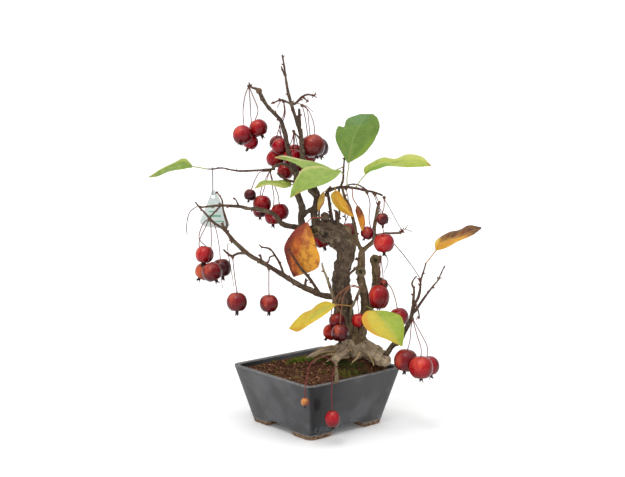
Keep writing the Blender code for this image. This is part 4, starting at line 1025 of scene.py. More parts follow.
def makeGranules(half, rng):
    bpy.ops.mesh.primitive_ico_sphere_add(subdivisions=1, radius=1)
    grain = named(bpy.context.object, "granule")
    for vertex in grain.data.vertices:
        vertex.co *= 1 + rng.uniform(-0.22, 0.22)
    granules = []
    for _ in range(soilLook["granules"]):
        size = rng.uniform(*soilLook["size"]) * rng.uniform(0.7, 1.0)
        room = [edge - size - soilLook["clear"] for edge in half]
        x = rng.uniform(-1, 1) * room[0]
        y = rng.uniform(-1, 1) * room[1]
        x, y = insideRim(x, y, room, potLook["corner"])
        place = potMiddle + Vector((x, y, soilHeight(x, y) + size * 0.25)) * mm
        turn = Matrix.Rotation(rng.uniform(0, fullTurn), 4, Vector((rng.gauss(0, 1), rng.gauss(0, 1), 1)))
        wide = size * rng.uniform(0.6, 1.0)
        tall = size * rng.uniform(0.5, 0.8)
        shape = Matrix.Diagonal((size * mm, wide * mm, tall * mm, 1))
        copy = copied(grain, Matrix.Translation(place) @ turn @ shape)
        keep(copy.data, "own", "FLOAT", [rng.random()] * len(copy.data.vertices))
        granules.append(copy)
    bpy.data.objects.remove(grain)
    return granules


def makeSoil():
    wall = potLook["wall"] + soilLook["gap"]
    half, low = ([size / 2 for size in innerSize(soilLook[level], wall)] for level in ("level", "deep"))
    bed = joined("soilBed", [makeBed(half, low), *makeGranules(half, random.Random(4))])
    softened(painted(bed, soilPaint()), 45)
    show(bed, "soil_grains", "soil")
    print("soil made:", len(bed.data.polygons), "faces")


def mossPaint():
    paint = Paint("moss", {"Roughness": 0.9, "Specular IOR Level": 0.2})
    speckle = paint.noise(paint.place(), 0.0014, 3.0)
    base = paint.kept("mossTone", 0)
    paint.drive("Base Color", paint.mix(paint.smooth(speckle, 0.4, 0.7) * 0.3, base, mossLook["tips"]))
    paint.bump(speckle, 0.0006, 0.8)
    return paint.material


def makeMoss():
    # Cushions of short pointed tufts that stand on the soil.
    rng = random.Random(21)
    bpy.ops.mesh.primitive_cone_add(vertices=5, radius1=0.55, radius2=0.08, depth=1.0, location=(0, 0, 0.5))
    tuft = settled(named(bpy.context.object, "mossTuft"))
    surface = surfaceOf(bpy.data.objects["soilBed"])
    half = [edge / 2 - mossLook["clear"] for edge in innerSize(soilLook["level"], potLook["wall"])]
    pieces = []
    for side, down, size, count, name in mossLook["patches"]:
        ray = (seen((side, down, 0)) - eye).normalized()
        middle = surface.ray_cast(eye + ray * 0.9, ray)[0]
        if middle is None:
            continue
        for _ in range(count):
            away = math.sqrt(rng.random()) * size
            turn = rng.uniform(0, 2 * math.pi)
            x = middle.x / mm + away * math.cos(turn) * 1.25 - potMiddle.x / mm
            y = middle.y / mm + away * math.sin(turn) - potMiddle.y / mm
            if abs(x) > half[0] or abs(y) > half[1]:
                continue
            dome = mossLook["dome"] * (1 - (away / size) ** 2)
            foot = potMiddle + Vector((x, y, soilHeight(x, y) - 0.6 + dome)) * mm
            wide = rng.uniform(0.9, 1.7)
            tall = rng.uniform(1.4, 3.2)
            tilt = rng.uniform(-0.5, 0.5)
            lean = Matrix.Rotation(tilt, 4, Vector((rng.gauss(0, 1), rng.gauss(0, 1), 0.01)))
            shape = Matrix.Diagonal((wide * mm, wide * mm, tall * mm, 1))
            copy = copied(tuft, Matrix.Translation(foot) @ lean @ shape)
            light = rng.uniform(0.4, 1.2)
            shade = [part * light for part in mossLook[name][:3]] + [1.0]
            keep(copy.data, "mossTone", "FLOAT_COLOR", [shade] * len(copy.data.vertices))
            pieces.append(copy)
    bpy.data.objects.remove(tuft)
    moss = joined("moss", pieces)
    softened(painted(moss, mossPaint()), 60)
    show(moss, "soil_grains")
    print("moss made:", len(moss.data.polygons), "faces")


makeSoil()
makeMoss()

appleLook = {
    "stalk": 0.48,  # radius in mm, as for the spur
    "spur": 1.7,
    "clear": 0.35,  # mm that a stalk stays off the wood
    "step": 2.2,  # mm between the rings of a stalk
    "paintedLightFrom": nearer * 0.55 + Vector((0, 0, 0.6)) - across * 0.5,  # the side of each fruit painted lit, with painted shade on the far side
    "size": 1.09,  # radius of the apples as a share of the solid's
    "sizes": {
        "fruit_leader_right": 1.24, "fruit_leader_left": 1.2, "fruit_between_leaders": 1.22,
        "fruit_low_left": 1.02, "fruit_over_rim": 1.0, "fruit_dried": 1.0,
    },
    "fullCalyx": (8.5, 1.8),  # radius of apple from which the calyx is full size, and that size
    "drawn": 0.75,  # how far a stalk with one bend is drawn straight
    "long": {"fruit_limb_right": 1.26, "fruit_over_rim": 1.2, "fruit_trunk_front": 1.06},
    "tanStalks": ("fruit_trunk_front", "fruit_limb_near", "fruit_limb_far"),
    "tones": {
        "bright": tone(174, 24, 32),
        "crimson": tone(160, 14, 34),
        "maroon": tone(122, 16, 28),
        "dark": tone(86, 20, 28),
        "orange": tone(176, 70, 36),
        "orangeRed": tone(184, 40, 30),
        "brown": tone(128, 34, 30),
        "dried": tone(196, 124, 66),
        "calyx": tone(50, 38, 32),
        "stalkRed": tone(118, 52, 52),
        "stalkTan": tone(146, 92, 66),
        "spur": tone(96, 72, 56),
        # The next two tones paint shade on each fruit's far side and light on its lit side.
        "shade": tone(140, 92, 136),
        "paintedLitTone": tone(252, 116, 84),
        "belly": tone(86, 26, 30),
        "shoulder": tone(140, 60, 40),
        "dots": tone(226, 168, 134),
        "patchy": tone(78, 58, 48),
    },
}
# Bunches: the spur (across, down, near), then each fruit as its centre, radius, the place that its
# calyx points to, and its stalk's way (across, down).
bunches = {
    "fruit_crown_left": ((249, 86, -27), (
        ((242.5, 135, -19), 9.3, (241, 143), ((245, 96), (243, 112))),
        ((258.5, 128, -28), 8.7, (263, 138), ((253, 96), (258, 110))),
        ((250.5, 142, -35), 7.5, (247, 150), ((250, 100), (251, 118))),
    )),
    "fruit_leader_left": ((284, 102, -8), (
        ((281, 147, -27), 8, (281, 157), ((285, 113), (281, 128))),
        ((278, 144, -44), 7.5, (272, 152), ((284, 113), (279, 128))),
        ((275.5, 159, -37), 8, (273, 169), ((285, 115), (277, 135))),
    )),
    "fruit_between_leaders": ((294, 131, 5), (
        ((295, 151, -39), 6, (295, 159), ((295, 136),)),
        ((293, 158, -20), 8, (293, 168), ((293.5, 140),)),
        ((297, 165, -35), 7, (297, 174), ((296, 138), (298, 150))),
        ((285.5, 171.5, -26), 7, (285, 180), ((292, 140), (286, 155))),
    )),
    "fruit_leader_right": ((302, 106, 6), (
        ((313, 146, -8), 10, (317, 159), ((307, 109), (309, 125))),
        ((318, 148, -28), 9, (322, 158), ((309, 111), (314, 125))),
        ((308, 157, -39), 7, (308, 166), ((304, 112), (307, 130))),
    )),
    "fruit_middle_left": ((270, 171, -20), (
        ((250, 195, -24), 5.8, (248, 203), ((260, 172), (255, 180))),
        ((262, 204, -31), 8.8, (262, 215), ((268, 176), (265, 186))),
        ((260, 211, -53), 7, (260, 219), ((266, 178), (261, 190))),
        ((280, 212, -27), 8.5, (281, 222), ((274, 184), (278, 195))),
        ((273, 217, -43), 8, (273, 226), ((272, 184), (274, 198))),
    )),
    "fruit_outer_left": ((210, 218.5, -22), (
        ((204.5, 254.5, -13), 8.7, (203, 264), ((203, 224), (199, 238))),
        ((204, 271.5, -21), 8.5, (199, 279), ((206, 226), (199, 245))),
        ((212, 272, -2), 9.5, (217, 282), ((211, 228), (211, 248))),
        ((221.5, 268, -25), 9.3, (223, 279), ((215, 226), (219, 245))),
    )),
    "fruit_low_left": ((233, 258, 31), (((237, 302, 34), 9.9, (237, 314), ((235, 275),)),)),
    "fruit_low_middle": ((268.5, 270, 17), (((269, 303.5, 20), 8.6, (269, 314), ((268.5, 285),)),)),
    "fruit_dried": ((384, 197.5, 15), (((382.5, 219, 25), 6, (383, 226), ((385.5, 208),)),)),
    "fruit_right_front": ((375, 194.5, 14), (((384, 243, 13), 9.5, (384, 255), ((379, 204), (381, 220))),)),
    "fruit_right_inner": ((367, 192.5, 13), (((367.5, 233, 6), 6.3, (363, 241), ((370, 203), (369, 218))),)),
    "fruit_behind_head": ((346, 188.5, 8), (((347, 233, -31), 10, (350, 244), ((348, 198), (349, 212))),)),
    "fruit_head_left": ((327, 216, -6), (((322, 239, -21), 9, (325, 249), ((323, 222),)),)),
    "fruit_limb_right": ((379, 258, -12), (
        ((379, 297, -4), 9.8, (379, 309), ((379.5, 270),)),
        ((384, 284, -5), 3.8, (385, 289), ((383, 268),)),
    )),
    "fruit_limb_far": ((381, 279, -16), (((399, 317, -12), 9, (401, 327), ((390, 286), (395, 298))),)),
    "fruit_limb_near": ((357, 298, -2), (((359, 320.5, 1), 7, (359, 329), ((359, 306),)),)),
    "fruit_trunk_front": ((361, 288, 0), (
        ((337, 321, 3), 7.5, (338, 330), ((352, 285, 2), (342, 292, 3), (338, 306, 4))),
        ((331, 332, -6), 7.5, (326, 339), ((350, 287, 3), (338, 295, 6), (331, 314, 2))),
        ((340, 333, 16), 8, (340, 342), ((353, 286), (344, 295), (341, 312))),
    )),
    "fruit_low_right": ((415, 320, 18), (
        ((406, 360.5, 17), 11, (404, 374), ((411, 328), (410, 340))),
        ((421, 367.5, 33), 11, (421, 382), ((417, 335), (421, 348))),
        ((429, 366, 10), 9.5, (431, 376), ((420, 332), (427, 346))),
    )),
    "fruit_over_rim": ((336, 364, 27), (
        ((305, 402, 79), 4, (305, 407), ((325, 357), (312, 362), (306, 380))),
        ((332.5, 419, 58), 7.2, (333, 428), ((333, 374, 53), (331.5, 392, 57))),
    )),
}
ripeness = {
    "fruit_crown_left": ("crimson", "bright", "crimson"),
    "fruit_leader_left": ("crimson", "dark", "crimson"),
    "fruit_between_leaders": ("crimson", "crimson", "maroon", "crimson"),
    "fruit_leader_right": ("brown", "dark", "crimson"),
    "fruit_middle_left": ("dark", "crimson", "maroon", "crimson", "crimson"),
    "fruit_outer_left": ("bright", "orange", "maroon", "dark"),
    "fruit_low_left": ("maroon",),
    "fruit_low_middle": ("maroon",),
    "fruit_dried": ("dark",),
    "fruit_right_front": ("bright",),
    "fruit_right_inner": ("maroon",),
    "fruit_behind_head": ("crimson",),
    "fruit_head_left": ("crimson",),
    "fruit_limb_right": ("bright", "dark"),
    "fruit_limb_far": ("crimson",),
    "fruit_limb_near": ("bright",),
    "fruit_trunk_front": ("maroon", "orangeRed", "dark"),
    "fruit_low_right": ("maroon", "bright", "crimson"),
    "fruit_over_rim": ("dried", "crimson"),
}


def modelApple():
    # A round fruit of radius 1 with a dimple on top, a flatter foot and five faint ribs.
    bpy.ops.mesh.primitive_uv_sphere_add(segments=24, ring_count=16, radius=1)
    apple = named(bpy.context.object, "appleModel")
    for above, down in ((0.995, -0.27), (0.97, -0.13), (0.9, -0.03)):
        editing(apple, lambda place, above=above: place.z > above)
        bpy.ops.transform.translate(value=(0, 0, down))
        objectMode()
    editing(apple, lambda place: place.z < -0.9)
    bpy.ops.transform.translate(value=(0, 0, 0.08))
    objectMode()
    for vertex in apple.data.vertices:
        ribbed = 1 + 0.012 * math.cos(5 * math.atan2(vertex.co.y, vertex.co.x)) * (1 - abs(vertex.co.z))
        vertex.co.x *= ribbed
        vertex.co.y *= ribbed
    return apple


def modelCalyx():
    # A short neck and five narrow dried sepals that curl outward, pointing down.
    bpy.ops.mesh.primitive_cylinder_add(vertices=10, radius=0.75, depth=1.0, location=(0, 0, -0.3))
    neck = settled(bpy.context.object)
    editing(neck, lambda place: place.z < -0.7)
    bpy.ops.transform.resize(value=(1.25, 1.25, 1))
    objectMode()
    bpy.ops.mesh.primitive_cone_add(
        vertices=6, radius1=0.62, radius2=0.12, depth=2.6, rotation=(math.pi, 0, 0))
    sepal = settled(bpy.context.object)
    sepal.data.transform(Matrix.Diagonal((1.0, 0.45, 1.0, 1.0)))
    editingAll(sepal)
    bpy.ops.mesh.subdivide(number_cuts=2)
    objectMode()
    for vertex in sepal.data.vertices:
        reach = 1.3 - vertex.co.z
        out = vertex.co.y + 0.5 + 0.17 * reach**2
        vertex.co = Vector((vertex.co.x, out, -0.6 - reach * (1 - 0.1 * reach)))
    sepals = [copied(sepal, Matrix.Rotation(math.radians(72 * turn + 9), 4, "Z")) for turn in range(5)]
    for turn, copy in enumerate(sepals):
        copy.data.transform(Matrix.Scale(0.85 + 0.09 * (turn * 2 % 5), 4))
    bpy.data.objects.remove(sepal)
    return outward(joined("calyxModel", [neck, *sepals]))


def skinPaint():
    tones = appleLook["tones"]
    paint = Paint("apple skin", {"Specular IOR Level": 0.3})
    local = paint.kept("local", 1)
    base = paint.kept("skinTone", 0)
    own = paint.kept("own", 2)
    height = paint.kept("upright", 2)
    paintedLight = paint.kept("paintedLight", 2)
    streaks = paint.noise(local, 0.55, 4.0)
    mottle = paint.noise(local, 1.1, 3.0)
    dots = paint.smooth(paint.cells(local, 0.17), 0.16, 0.07)
    # Painted light and shade: each fruit is darkened toward the shade tone on its far side and lightened
    # toward a lit tone on the side that faces the painted light.
    deep = paint.mix(1.0, base, tones["shade"], "MULTIPLY")
    paintedLitTone = paint.mix(0.42, base, tones["paintedLitTone"])
    paintedShading = paint.smooth(mottle * 0.5 + (own - 0.5) * 0.1 + paintedLight * 0.42, 0.1, 0.66)
    lit = paint.smooth(streaks * 0.6 + mottle * 0.25 + paintedLight * 0.42, 0.68, 0.96)
    body = paint.mix(paintedShading, deep, base)
    body = paint.mix(lit * 0.8, body, paintedLitTone)
    body = paint.mix(paint.smooth(height, -0.55, -0.98) * 0.45, body, tones["belly"])
    body = paint.mix(paint.smooth(height, 0.62, 0.8) * 0.35, body, tones["shoulder"])
    body = paint.mix(dots * 0.3, body, tones["dots"])
    paint.drive("Base Color", body)
    paint.drive("Roughness", 0.12 + streaks * 0.1)
    paint.bump(mottle + dots * 0.15, 0.0005, 0.35)
    return paint.material


def stalkPaint():
    paint = Paint("stalks and calyx", {"Roughness": 0.75, "Specular IOR Level": 0.3})
    base = paint.kept("skinTone", 0)
    patchy = paint.noise(paint.place(), 0.003, 3.0)
    patched = paint.smooth(patchy, 0.4, 0.65) * 0.4
    paint.drive("Base Color", paint.mix(patched, base, appleLook["tones"]["patchy"]))
    paint.bump(patchy, 0.0003, 0.5)
    return paint.material


def toned(piece, shade):
    # Keeps one tone, and blank fruit values, on a piece that joins a bunch.
    count = len(piece.data.vertices)
    keep(piece.data, "skinTone", "FLOAT_COLOR", [shade] * count)
    keep(piece.data, "local", "FLOAT_VECTOR", [(0.0, 0.0, 0.0)] * count)
    keep(piece.data, "own", "FLOAT", [0.5] * count)
    keep(piece.data, "upright", "FLOAT", [0.0] * count)
    keep(piece.data, "paintedLight", "FLOAT", [0.0] * count)
    return piece


def calyxAxis(centre, radius, calyx):
    # The direction, from the calyx to the stalk, of a fruit whose calyx is seen at a place.
    right = calyx[0] - centre[0]
    down = calyx[1] - centre[1]
    toward = math.sqrt(max(0.0, radius**2 - right**2 - down**2))
    return -(across * right - upward * down + nearer * toward).normalized()


def turnedTo(axis, rng):
    # A turn that brings Z to the axis, spun about it at random.
    spin = Matrix.Rotation(rng.uniform(0, fullTurn), 4, "Z")
    return axis.to_track_quat("Z", "Y").to_matrix().to_4x4() @ spin


def makeApple(model, place, axis, size, long, dried, shade, rng):
    turn = turnedTo(axis, rng)
    stretch = Matrix.Diagonal((1, 1, long, 1))
    mesh = model.data.copy()
    offset = Vector((rng.uniform(0, 40), rng.uniform(0, 40), rng.uniform(0, 40)))
    keep(mesh, "local", "FLOAT_VECTOR", [
        Vector((v.co.x, v.co.y, v.co.z * 0.35)) + offset for v in mesh.vertices])
    keep(mesh, "upright", "FLOAT", [v.co.z for v in mesh.vertices])
    keep(mesh, "own", "FLOAT", [rng.random()] * len(mesh.vertices))
    light = [part * rng.uniform(0.9, 1.1) for part in shade[:3]] + [1.0]
    keep(mesh, "skinTone", "FLOAT_COLOR", [light] * len(mesh.vertices))
    depth, pitch = (0.22, 3.2) if dried else (0.02, 1.2)
    for vertex in mesh.vertices:
        vertex.co *= 1 + depth * noise.noise(vertex.co * pitch + offset)
    mesh.transform(Matrix.Translation(place) @ turn @ stretch @ Matrix.Scale(size * mm, 4))
    # Painted light: how far each point faces the painted light, which lightens that side and shades the far
    # one.
    paintedLightFrom = (appleLook["paintedLightFrom"] + Vector([rng.uniform(-0.3, 0.3) for _ in range(3)])).normalized()
    keep(mesh, "paintedLight", "FLOAT", [(vertex.co - place).normalized().dot(paintedLightFrom) for vertex in mesh.vertices])
    return shown("apple", mesh)


def makeCrown(model, place, axis, radius, rng):
    # The dried calyx under an apple.
    full, size = appleLook["fullCalyx"]
    foot = place - axis * radius * 0.88 * mm
    turn = turnedTo(axis, rng)
    scale = Matrix.Scale(min(1.0, radius / full) * size * mm, 4)
    return toned(copied(model, Matrix.Translation(foot) @ turn @ scale), appleLook["tones"]["calyx"])


def stalkWay(hub, near, centre, bends, top, core):
    # A stalk from the spur's hub into its apple, clear of the wood and thicker at both ends.
    route = [hub]
    for step, point in enumerate(bends, 1):
        lean = 1 - (1 - step / (len(bends) + 1)) ** 2
        bent = seen((*point, near + (centre[2] - near) * lean)[:3])
        middle = hub.lerp(seen(centre), 0.5)
        route.append(bent.lerp(middle, appleLook["drawn"]) if len(bends) == 1 else bent)
    fine = smoothWay([*route, top], appleLook["step"] * mm)
    clear = (appleLook["stalk"] + appleLook["clear"]) * mm
    fine = [fine[0], *(pushedOut(point, clear) for point in fine[1:]), core]
    way = []
    for index, point in enumerate(fine):
        flare = 1 + 0.6 * max(0, 1 - index / 2) + 0.35 * (index >= len(fine) - 2)
        way.append(withRadius(point, appleLook["stalk"] * flare))
    return way


def makeKnob(hub):
    # The rough end of the spur that a bunch hangs from.
    bpy.ops.mesh.primitive_ico_sphere_add(subdivisions=2, radius=appleLook["spur"] * mm)
    knob = bpy.context.object
    for vertex in knob.data.vertices:
        vertex.co *= 1 + 0.3 * noise.noise(vertex.co * 900)
    knob.data.transform(Matrix.Translation(hub))
    return toned(knob, appleLook["tones"]["spur"])


def makeBunch(name, spur, fruit, models, paints):
    rng = random.Random(name)
    tones = appleLook["tones"]
    hub = seated(seen(spur), appleLook["spur"] * 0.4)
    swell = appleLook["sizes"].get(name, appleLook["size"])
    apples, dull, ways = [], [], []
    for kind, (centre, radius, calyx, bends) in zip(ripeness[name], fruit):
        place = seen(centre)
        axis = calyxAxis(centre, radius, calyx)
        dried = kind == "dried" or name == "fruit_dried"
        long = 1.0 if dried else appleLook["long"].get(name, 1.0)
        apples.append(makeApple(models[0], place, axis, radius * swell, long, dried, tones[kind], rng))
        dull.append(makeCrown(models[1], place, axis, radius, rng))
        top, core = (place + axis * radius * share * mm for share in (0.99, 0.62))
        ways.append(stalkWay(hub, spur[2], centre, bends, top, core))
    stalkTone = tones["stalkTan" if name in appleLook["tanStalks"] else "stalkRed"]
    dull.append(toned(tubes(name + "_stalks", ways, 6), stalkTone))
    dull.append(makeKnob(hub))
    skinned = [painted(piece, paints[0]) for piece in apples]
    bunch = joined(name + "_bunch", skinned + [painted(piece, paints[1]) for piece in dull])
    softened(bunch, 55)
    show(bunch, "apple_skin", name)


def makeBunches():
    models = (modelApple(), modelCalyx())
    paints = (skinPaint(), stalkPaint())
    for name, (spur, apples) in bunches.items():
        makeBunch(name, spur, apples, models, paints)
    for model in models:
        bpy.data.objects.remove(model)
    print("fruit made:", len(bunches), "bunches")


makeBunches()

leafShape = {
    "rows": 72,
    "columns": 12,
    "thickness": 0.32,
    "tooth": 0.55,  # height in mm
    "teeth": 22,
    "veins": 7,
    "slant": 0.34,  # how far the veins lean toward the tip, as a share of the leaf
    "ripple": 0.28,
    "cup": 0.6,
    "petiole": 0.55,  # radius
    "step": 1.6,  # mm between the rings of a stalk
    "clear": 0.2,  # mm that a stalk stays off the wood
    "light": (0.8, 0.76, 0.74, 1.0),
    "specks": tone(120, 84, 48),
    "stalkBrown": tone(150, 96, 66),
}
# Leaves: stalk (across, down, near) from the wood up, then one edge, the rib and the other edge.
leafRoutes = {
    "leaf_far_left": (((206, 169, -38), (199, 167.5, -40)), (
        ((192, 165, -43), (186, 159.5, -49), (180, 159, -52), (172, 163, -52), (164, 168, -50),
         (148.5, 177, -45)),
        ((192, 166.5, -43), (184, 164.5, -43), (178, 165.5, -43), (170, 168, -43), (161, 172, -43),
         (149, 177, -44)),
        ((192, 168, -43), (184, 168.5, -36), (177, 169.5, -32), (168, 172.5, -32), (160, 175.5, -36),
         (149, 177.5, -44)),
    )),
    "leaf_left_narrow": (((298, 186, -11),), (
        ((291, 182, -12), (286, 180.5, -13), (279, 180, -14), (270, 180, -14), (262, 181.5, -12),
         (255, 187.5, -8)),
        ((291, 184.5, -10), (285.5, 183.5, -7), (278, 183, -5), (270, 183, -4), (262, 184.5, -4),
         (255, 188, -6)),
        ((290.5, 187, -8), (285.5, 187.5, 0), (278, 186.5, 4), (270, 185.5, 5), (262, 186.5, 2),
         (255, 188.5, -5)),
    )),
    "leaf_big_front": (((342, 174, 11),), (
        ((341, 170.5, 14), (330, 169.5, 13), (318, 166, 13), (304, 167.5, 15), (297, 177, 16),
         (292.5, 188, 17), (290, 197, 18)),
        ((341, 171.5, 15), (331, 173.5, 17), (321, 176.5, 20), (311, 181, 22), (303, 186, 22),
         (297, 191.5, 21), (290, 197.5, 19)),
        ((341, 172.5, 16), (335, 178, 22), (326, 183, 27), (318, 186.5, 30), (309, 189.5, 30),
         (299, 193, 26), (290.5, 198, 20)),
    )),
    "leaf_big_back": (((341.5, 167, 8), (337, 169.5, 4)), (
        ((333, 169.5, 5), (324, 165.5, 3), (313, 161.5, 4), (302, 159, 6), (292, 157, 4), (283, 156, 0),
         (275, 157, -6)),
        ((333, 171, 6), (323, 169, 8), (313, 167, 9), (303, 164, 9), (294, 160.8, 7), (285, 158.6, 3),
         (275, 157.5, -5)),
        ((332, 173.5, 5), (322, 174, 8), (312, 173, 10), (303, 168.5, 11), (294, 163.5, 9), (285, 160, 4),
         (275, 158, -4)),
    )),
    "leaf_top": (((347, 185.5, 11), (347, 178, 13), (348.5, 168, 14)), (
        ((347.5, 163, 13), (340, 150, 8), (335.5, 138, 6), (338, 126.5, 6), (344, 127, 8), (347, 119.5, 7),
         (360, 114, 6)),
        ((349, 163, 14), (350, 152, 14), (352, 143, 15), (354.5, 135, 15), (358, 128, 14), (362, 121, 12),
         (367, 114, 9)),
        ((350.5, 162, 13), (363, 154.5, 6), (371.5, 145, 3), (376.5, 136, 2), (379.5, 127, 3),
         (377.5, 118, 5), (373, 114, 8)),
    )),
    "leaf_right": (((355.5, 187, 13), (360, 181, 14)), (
        ((365, 174, 14), (364.5, 169, 7), (370, 164, 2), (383, 157, -2), (395, 158, -3), (407, 154.5, -2),
         (421, 157, 2), (431, 165, 8)),
        ((365.5, 174.5, 15), (368, 169.5, 14), (375, 165.5, 13), (385, 162.5, 12), (396, 162.5, 11),
         (408, 161, 10), (421, 162, 9), (431, 165.5, 9)),
        ((366.5, 175, 16), (371, 171, 21), (377, 168.5, 25), (386, 166, 27), (396, 167, 26),
         (407, 167.8, 23), (420, 166.5, 17), (431, 166, 10)),
    )),
    "leaf_centre_yellow": (((335, 188.5, 9),), (
        ((334.5, 191, 12), (331, 195, 10), (332, 201, 9), (336, 207, 9), (342, 212, 10), (348, 215, 11),
         (353, 217, 13)),
        ((336, 191, 13), (336, 196, 14), (338, 201, 15), (341, 205.5, 16), (345, 209.5, 16), (349, 213, 15),
         (353.3, 216.8, 14)),
        ((338, 191, 12), (341, 193.5, 10), (343.5, 198, 9), (346.5, 202.5, 9), (349.5, 206.5, 10),
         (352, 211, 12), (353.8, 216.5, 14)),
    )),
    "leaf_centre_brown": (((352, 190, 12), (353, 198, 14)), (
        ((356.5, 206, 13), (355.5, 211, 12), (357, 216, 11), (358.5, 221, 11), (360, 226, 12),
         (362, 231, 13)),
        ((357.5, 206, 14), (359, 211, 15), (360.5, 216, 16), (361.5, 221, 16), (362, 226, 15),
         (362.4, 231, 14)),
        ((359, 206.5, 13), (362, 210.5, 12), (364, 215.5, 11), (365, 221, 11), (364.7, 226, 12),
         (362.8, 231, 13)),
    )),
    "leaf_small_tan": (((326, 189.5, 9),), (
        ((322.5, 192.5, 11), (319.5, 196.5, 11), (318, 201.5, 11), (317.3, 206, 11), (318, 211, 12)),
        ((323.2, 192.5, 12), (322.3, 197, 13), (321, 201.5, 14), (319.7, 206, 13), (318.4, 211, 12.5)),
        ((324.2, 193, 11), (325, 197, 10), (324.2, 202, 10), (321.8, 206.5, 11), (318.9, 211, 12)),
    )),
    "leaf_orange": (((319, 216.5, 9), (312, 218, 13)), (
        ((305.5, 222.5, 14), (296, 228.5, 12), (289, 237, 9), (284, 247.5, 5), (286, 258, 3),
         (289.5, 268, 2), (293, 276.5, 1)),
        ((307, 222.5, 15), (305, 232, 13), (303, 242, 10), (301, 252, 7), (299, 261, 4), (296.5, 269.5, 2),
         (294, 277, 1)),
        ((308.5, 223, 14), (312.5, 234, 12), (316, 246, 11), (320, 257, 10), (318.5, 266.5, 8),
         (311, 271.5, 5), (296, 276.5, 1.5)),
    )),
    "leaf_outer_right": (((428, 260.5, 12), (432, 255.5, 13)), (
        ((435.5, 250, 13), (435.5, 243, 7), (440, 237.5, 3), (449, 231.5, 0), (460, 229.5, 0),
         (469, 226, 2), (481, 227, 7)),
        ((436, 250.5, 14), (440, 245.5, 13), (445.5, 241.5, 12), (453, 238, 11), (462, 235, 10),
         (471, 231.5, 9), (481.3, 227.8, 8)),
        ((437, 251, 15), (442, 249, 20), (448, 246.2, 24), (455, 243.2, 25), (463, 240, 23),
         (471.5, 235.5, 18), (481.5, 228.5, 9)),
    )),
    "leaf_low_left": (((349, 306, -2), (342, 305, 6)), (
        ((334.5, 304, 12), (326, 302, 7), (317.5, 304.5, 5), (311, 309, 5), (303, 313, 7), (296, 320.5, 11),
         (289, 328, 16)),
        ((335, 305, 13), (327.5, 307, 15), (320, 310.5, 17), (312.5, 315.5, 18), (305, 320.5, 18),
         (297, 325.5, 18), (289, 328.5, 17)),
        ((335, 306.5, 12), (330, 310.5, 16), (323, 315.5, 20), (315, 321.5, 22), (307, 327, 23),
         (298, 331.5, 22), (289.5, 329.2, 18)),
    )),
    "leaf_low_right": (((366, 306, -9), (370, 308, 0)), (
        ((375, 311, 9), (367, 311.5, 12), (361.8, 318, 15), (365, 327, 17), (374, 334.5, 19),
         (387, 339.5, 20), (401, 346, 21)),
        ((375.8, 311.3, 9), (380, 316, 12), (385, 321.5, 16), (390, 328, 19), (394.5, 334, 21),
         (398, 340, 22), (401.8, 346.5, 21)),
        ((377, 311, 9), (386, 310.7, 8), (394, 312.5, 8), (401, 316.5, 11), (404, 325.5, 17),
         (404, 335, 20), (402.6, 346, 21)),
    )),
}
greenLeaf = {
    "veins": tone(182, 204, 124), "veined": 0.2, "petiole": tone(150, 160, 84), "slot": "leaf_green",
    "spots": tone(150, 176, 90), "mottle": 0.12, "torn": 0.5,
}
yellowLeaf = {
    "veins": tone(240, 222, 130), "veined": 0.22, "petiole": tone(190, 144, 70), "slot": "leaf_yellow",
    "spots": tone(206, 140, 46), "mottle": 0.22, "torn": 1.6,
}
orangeLeaf = {
    "veins": tone(226, 150, 76), "veined": 0.14, "petiole": tone(150, 66, 50), "slot": "leaf_orange",
    "spots": tone(150, 54, 26), "mottle": 0.6, "torn": 1.4,
}
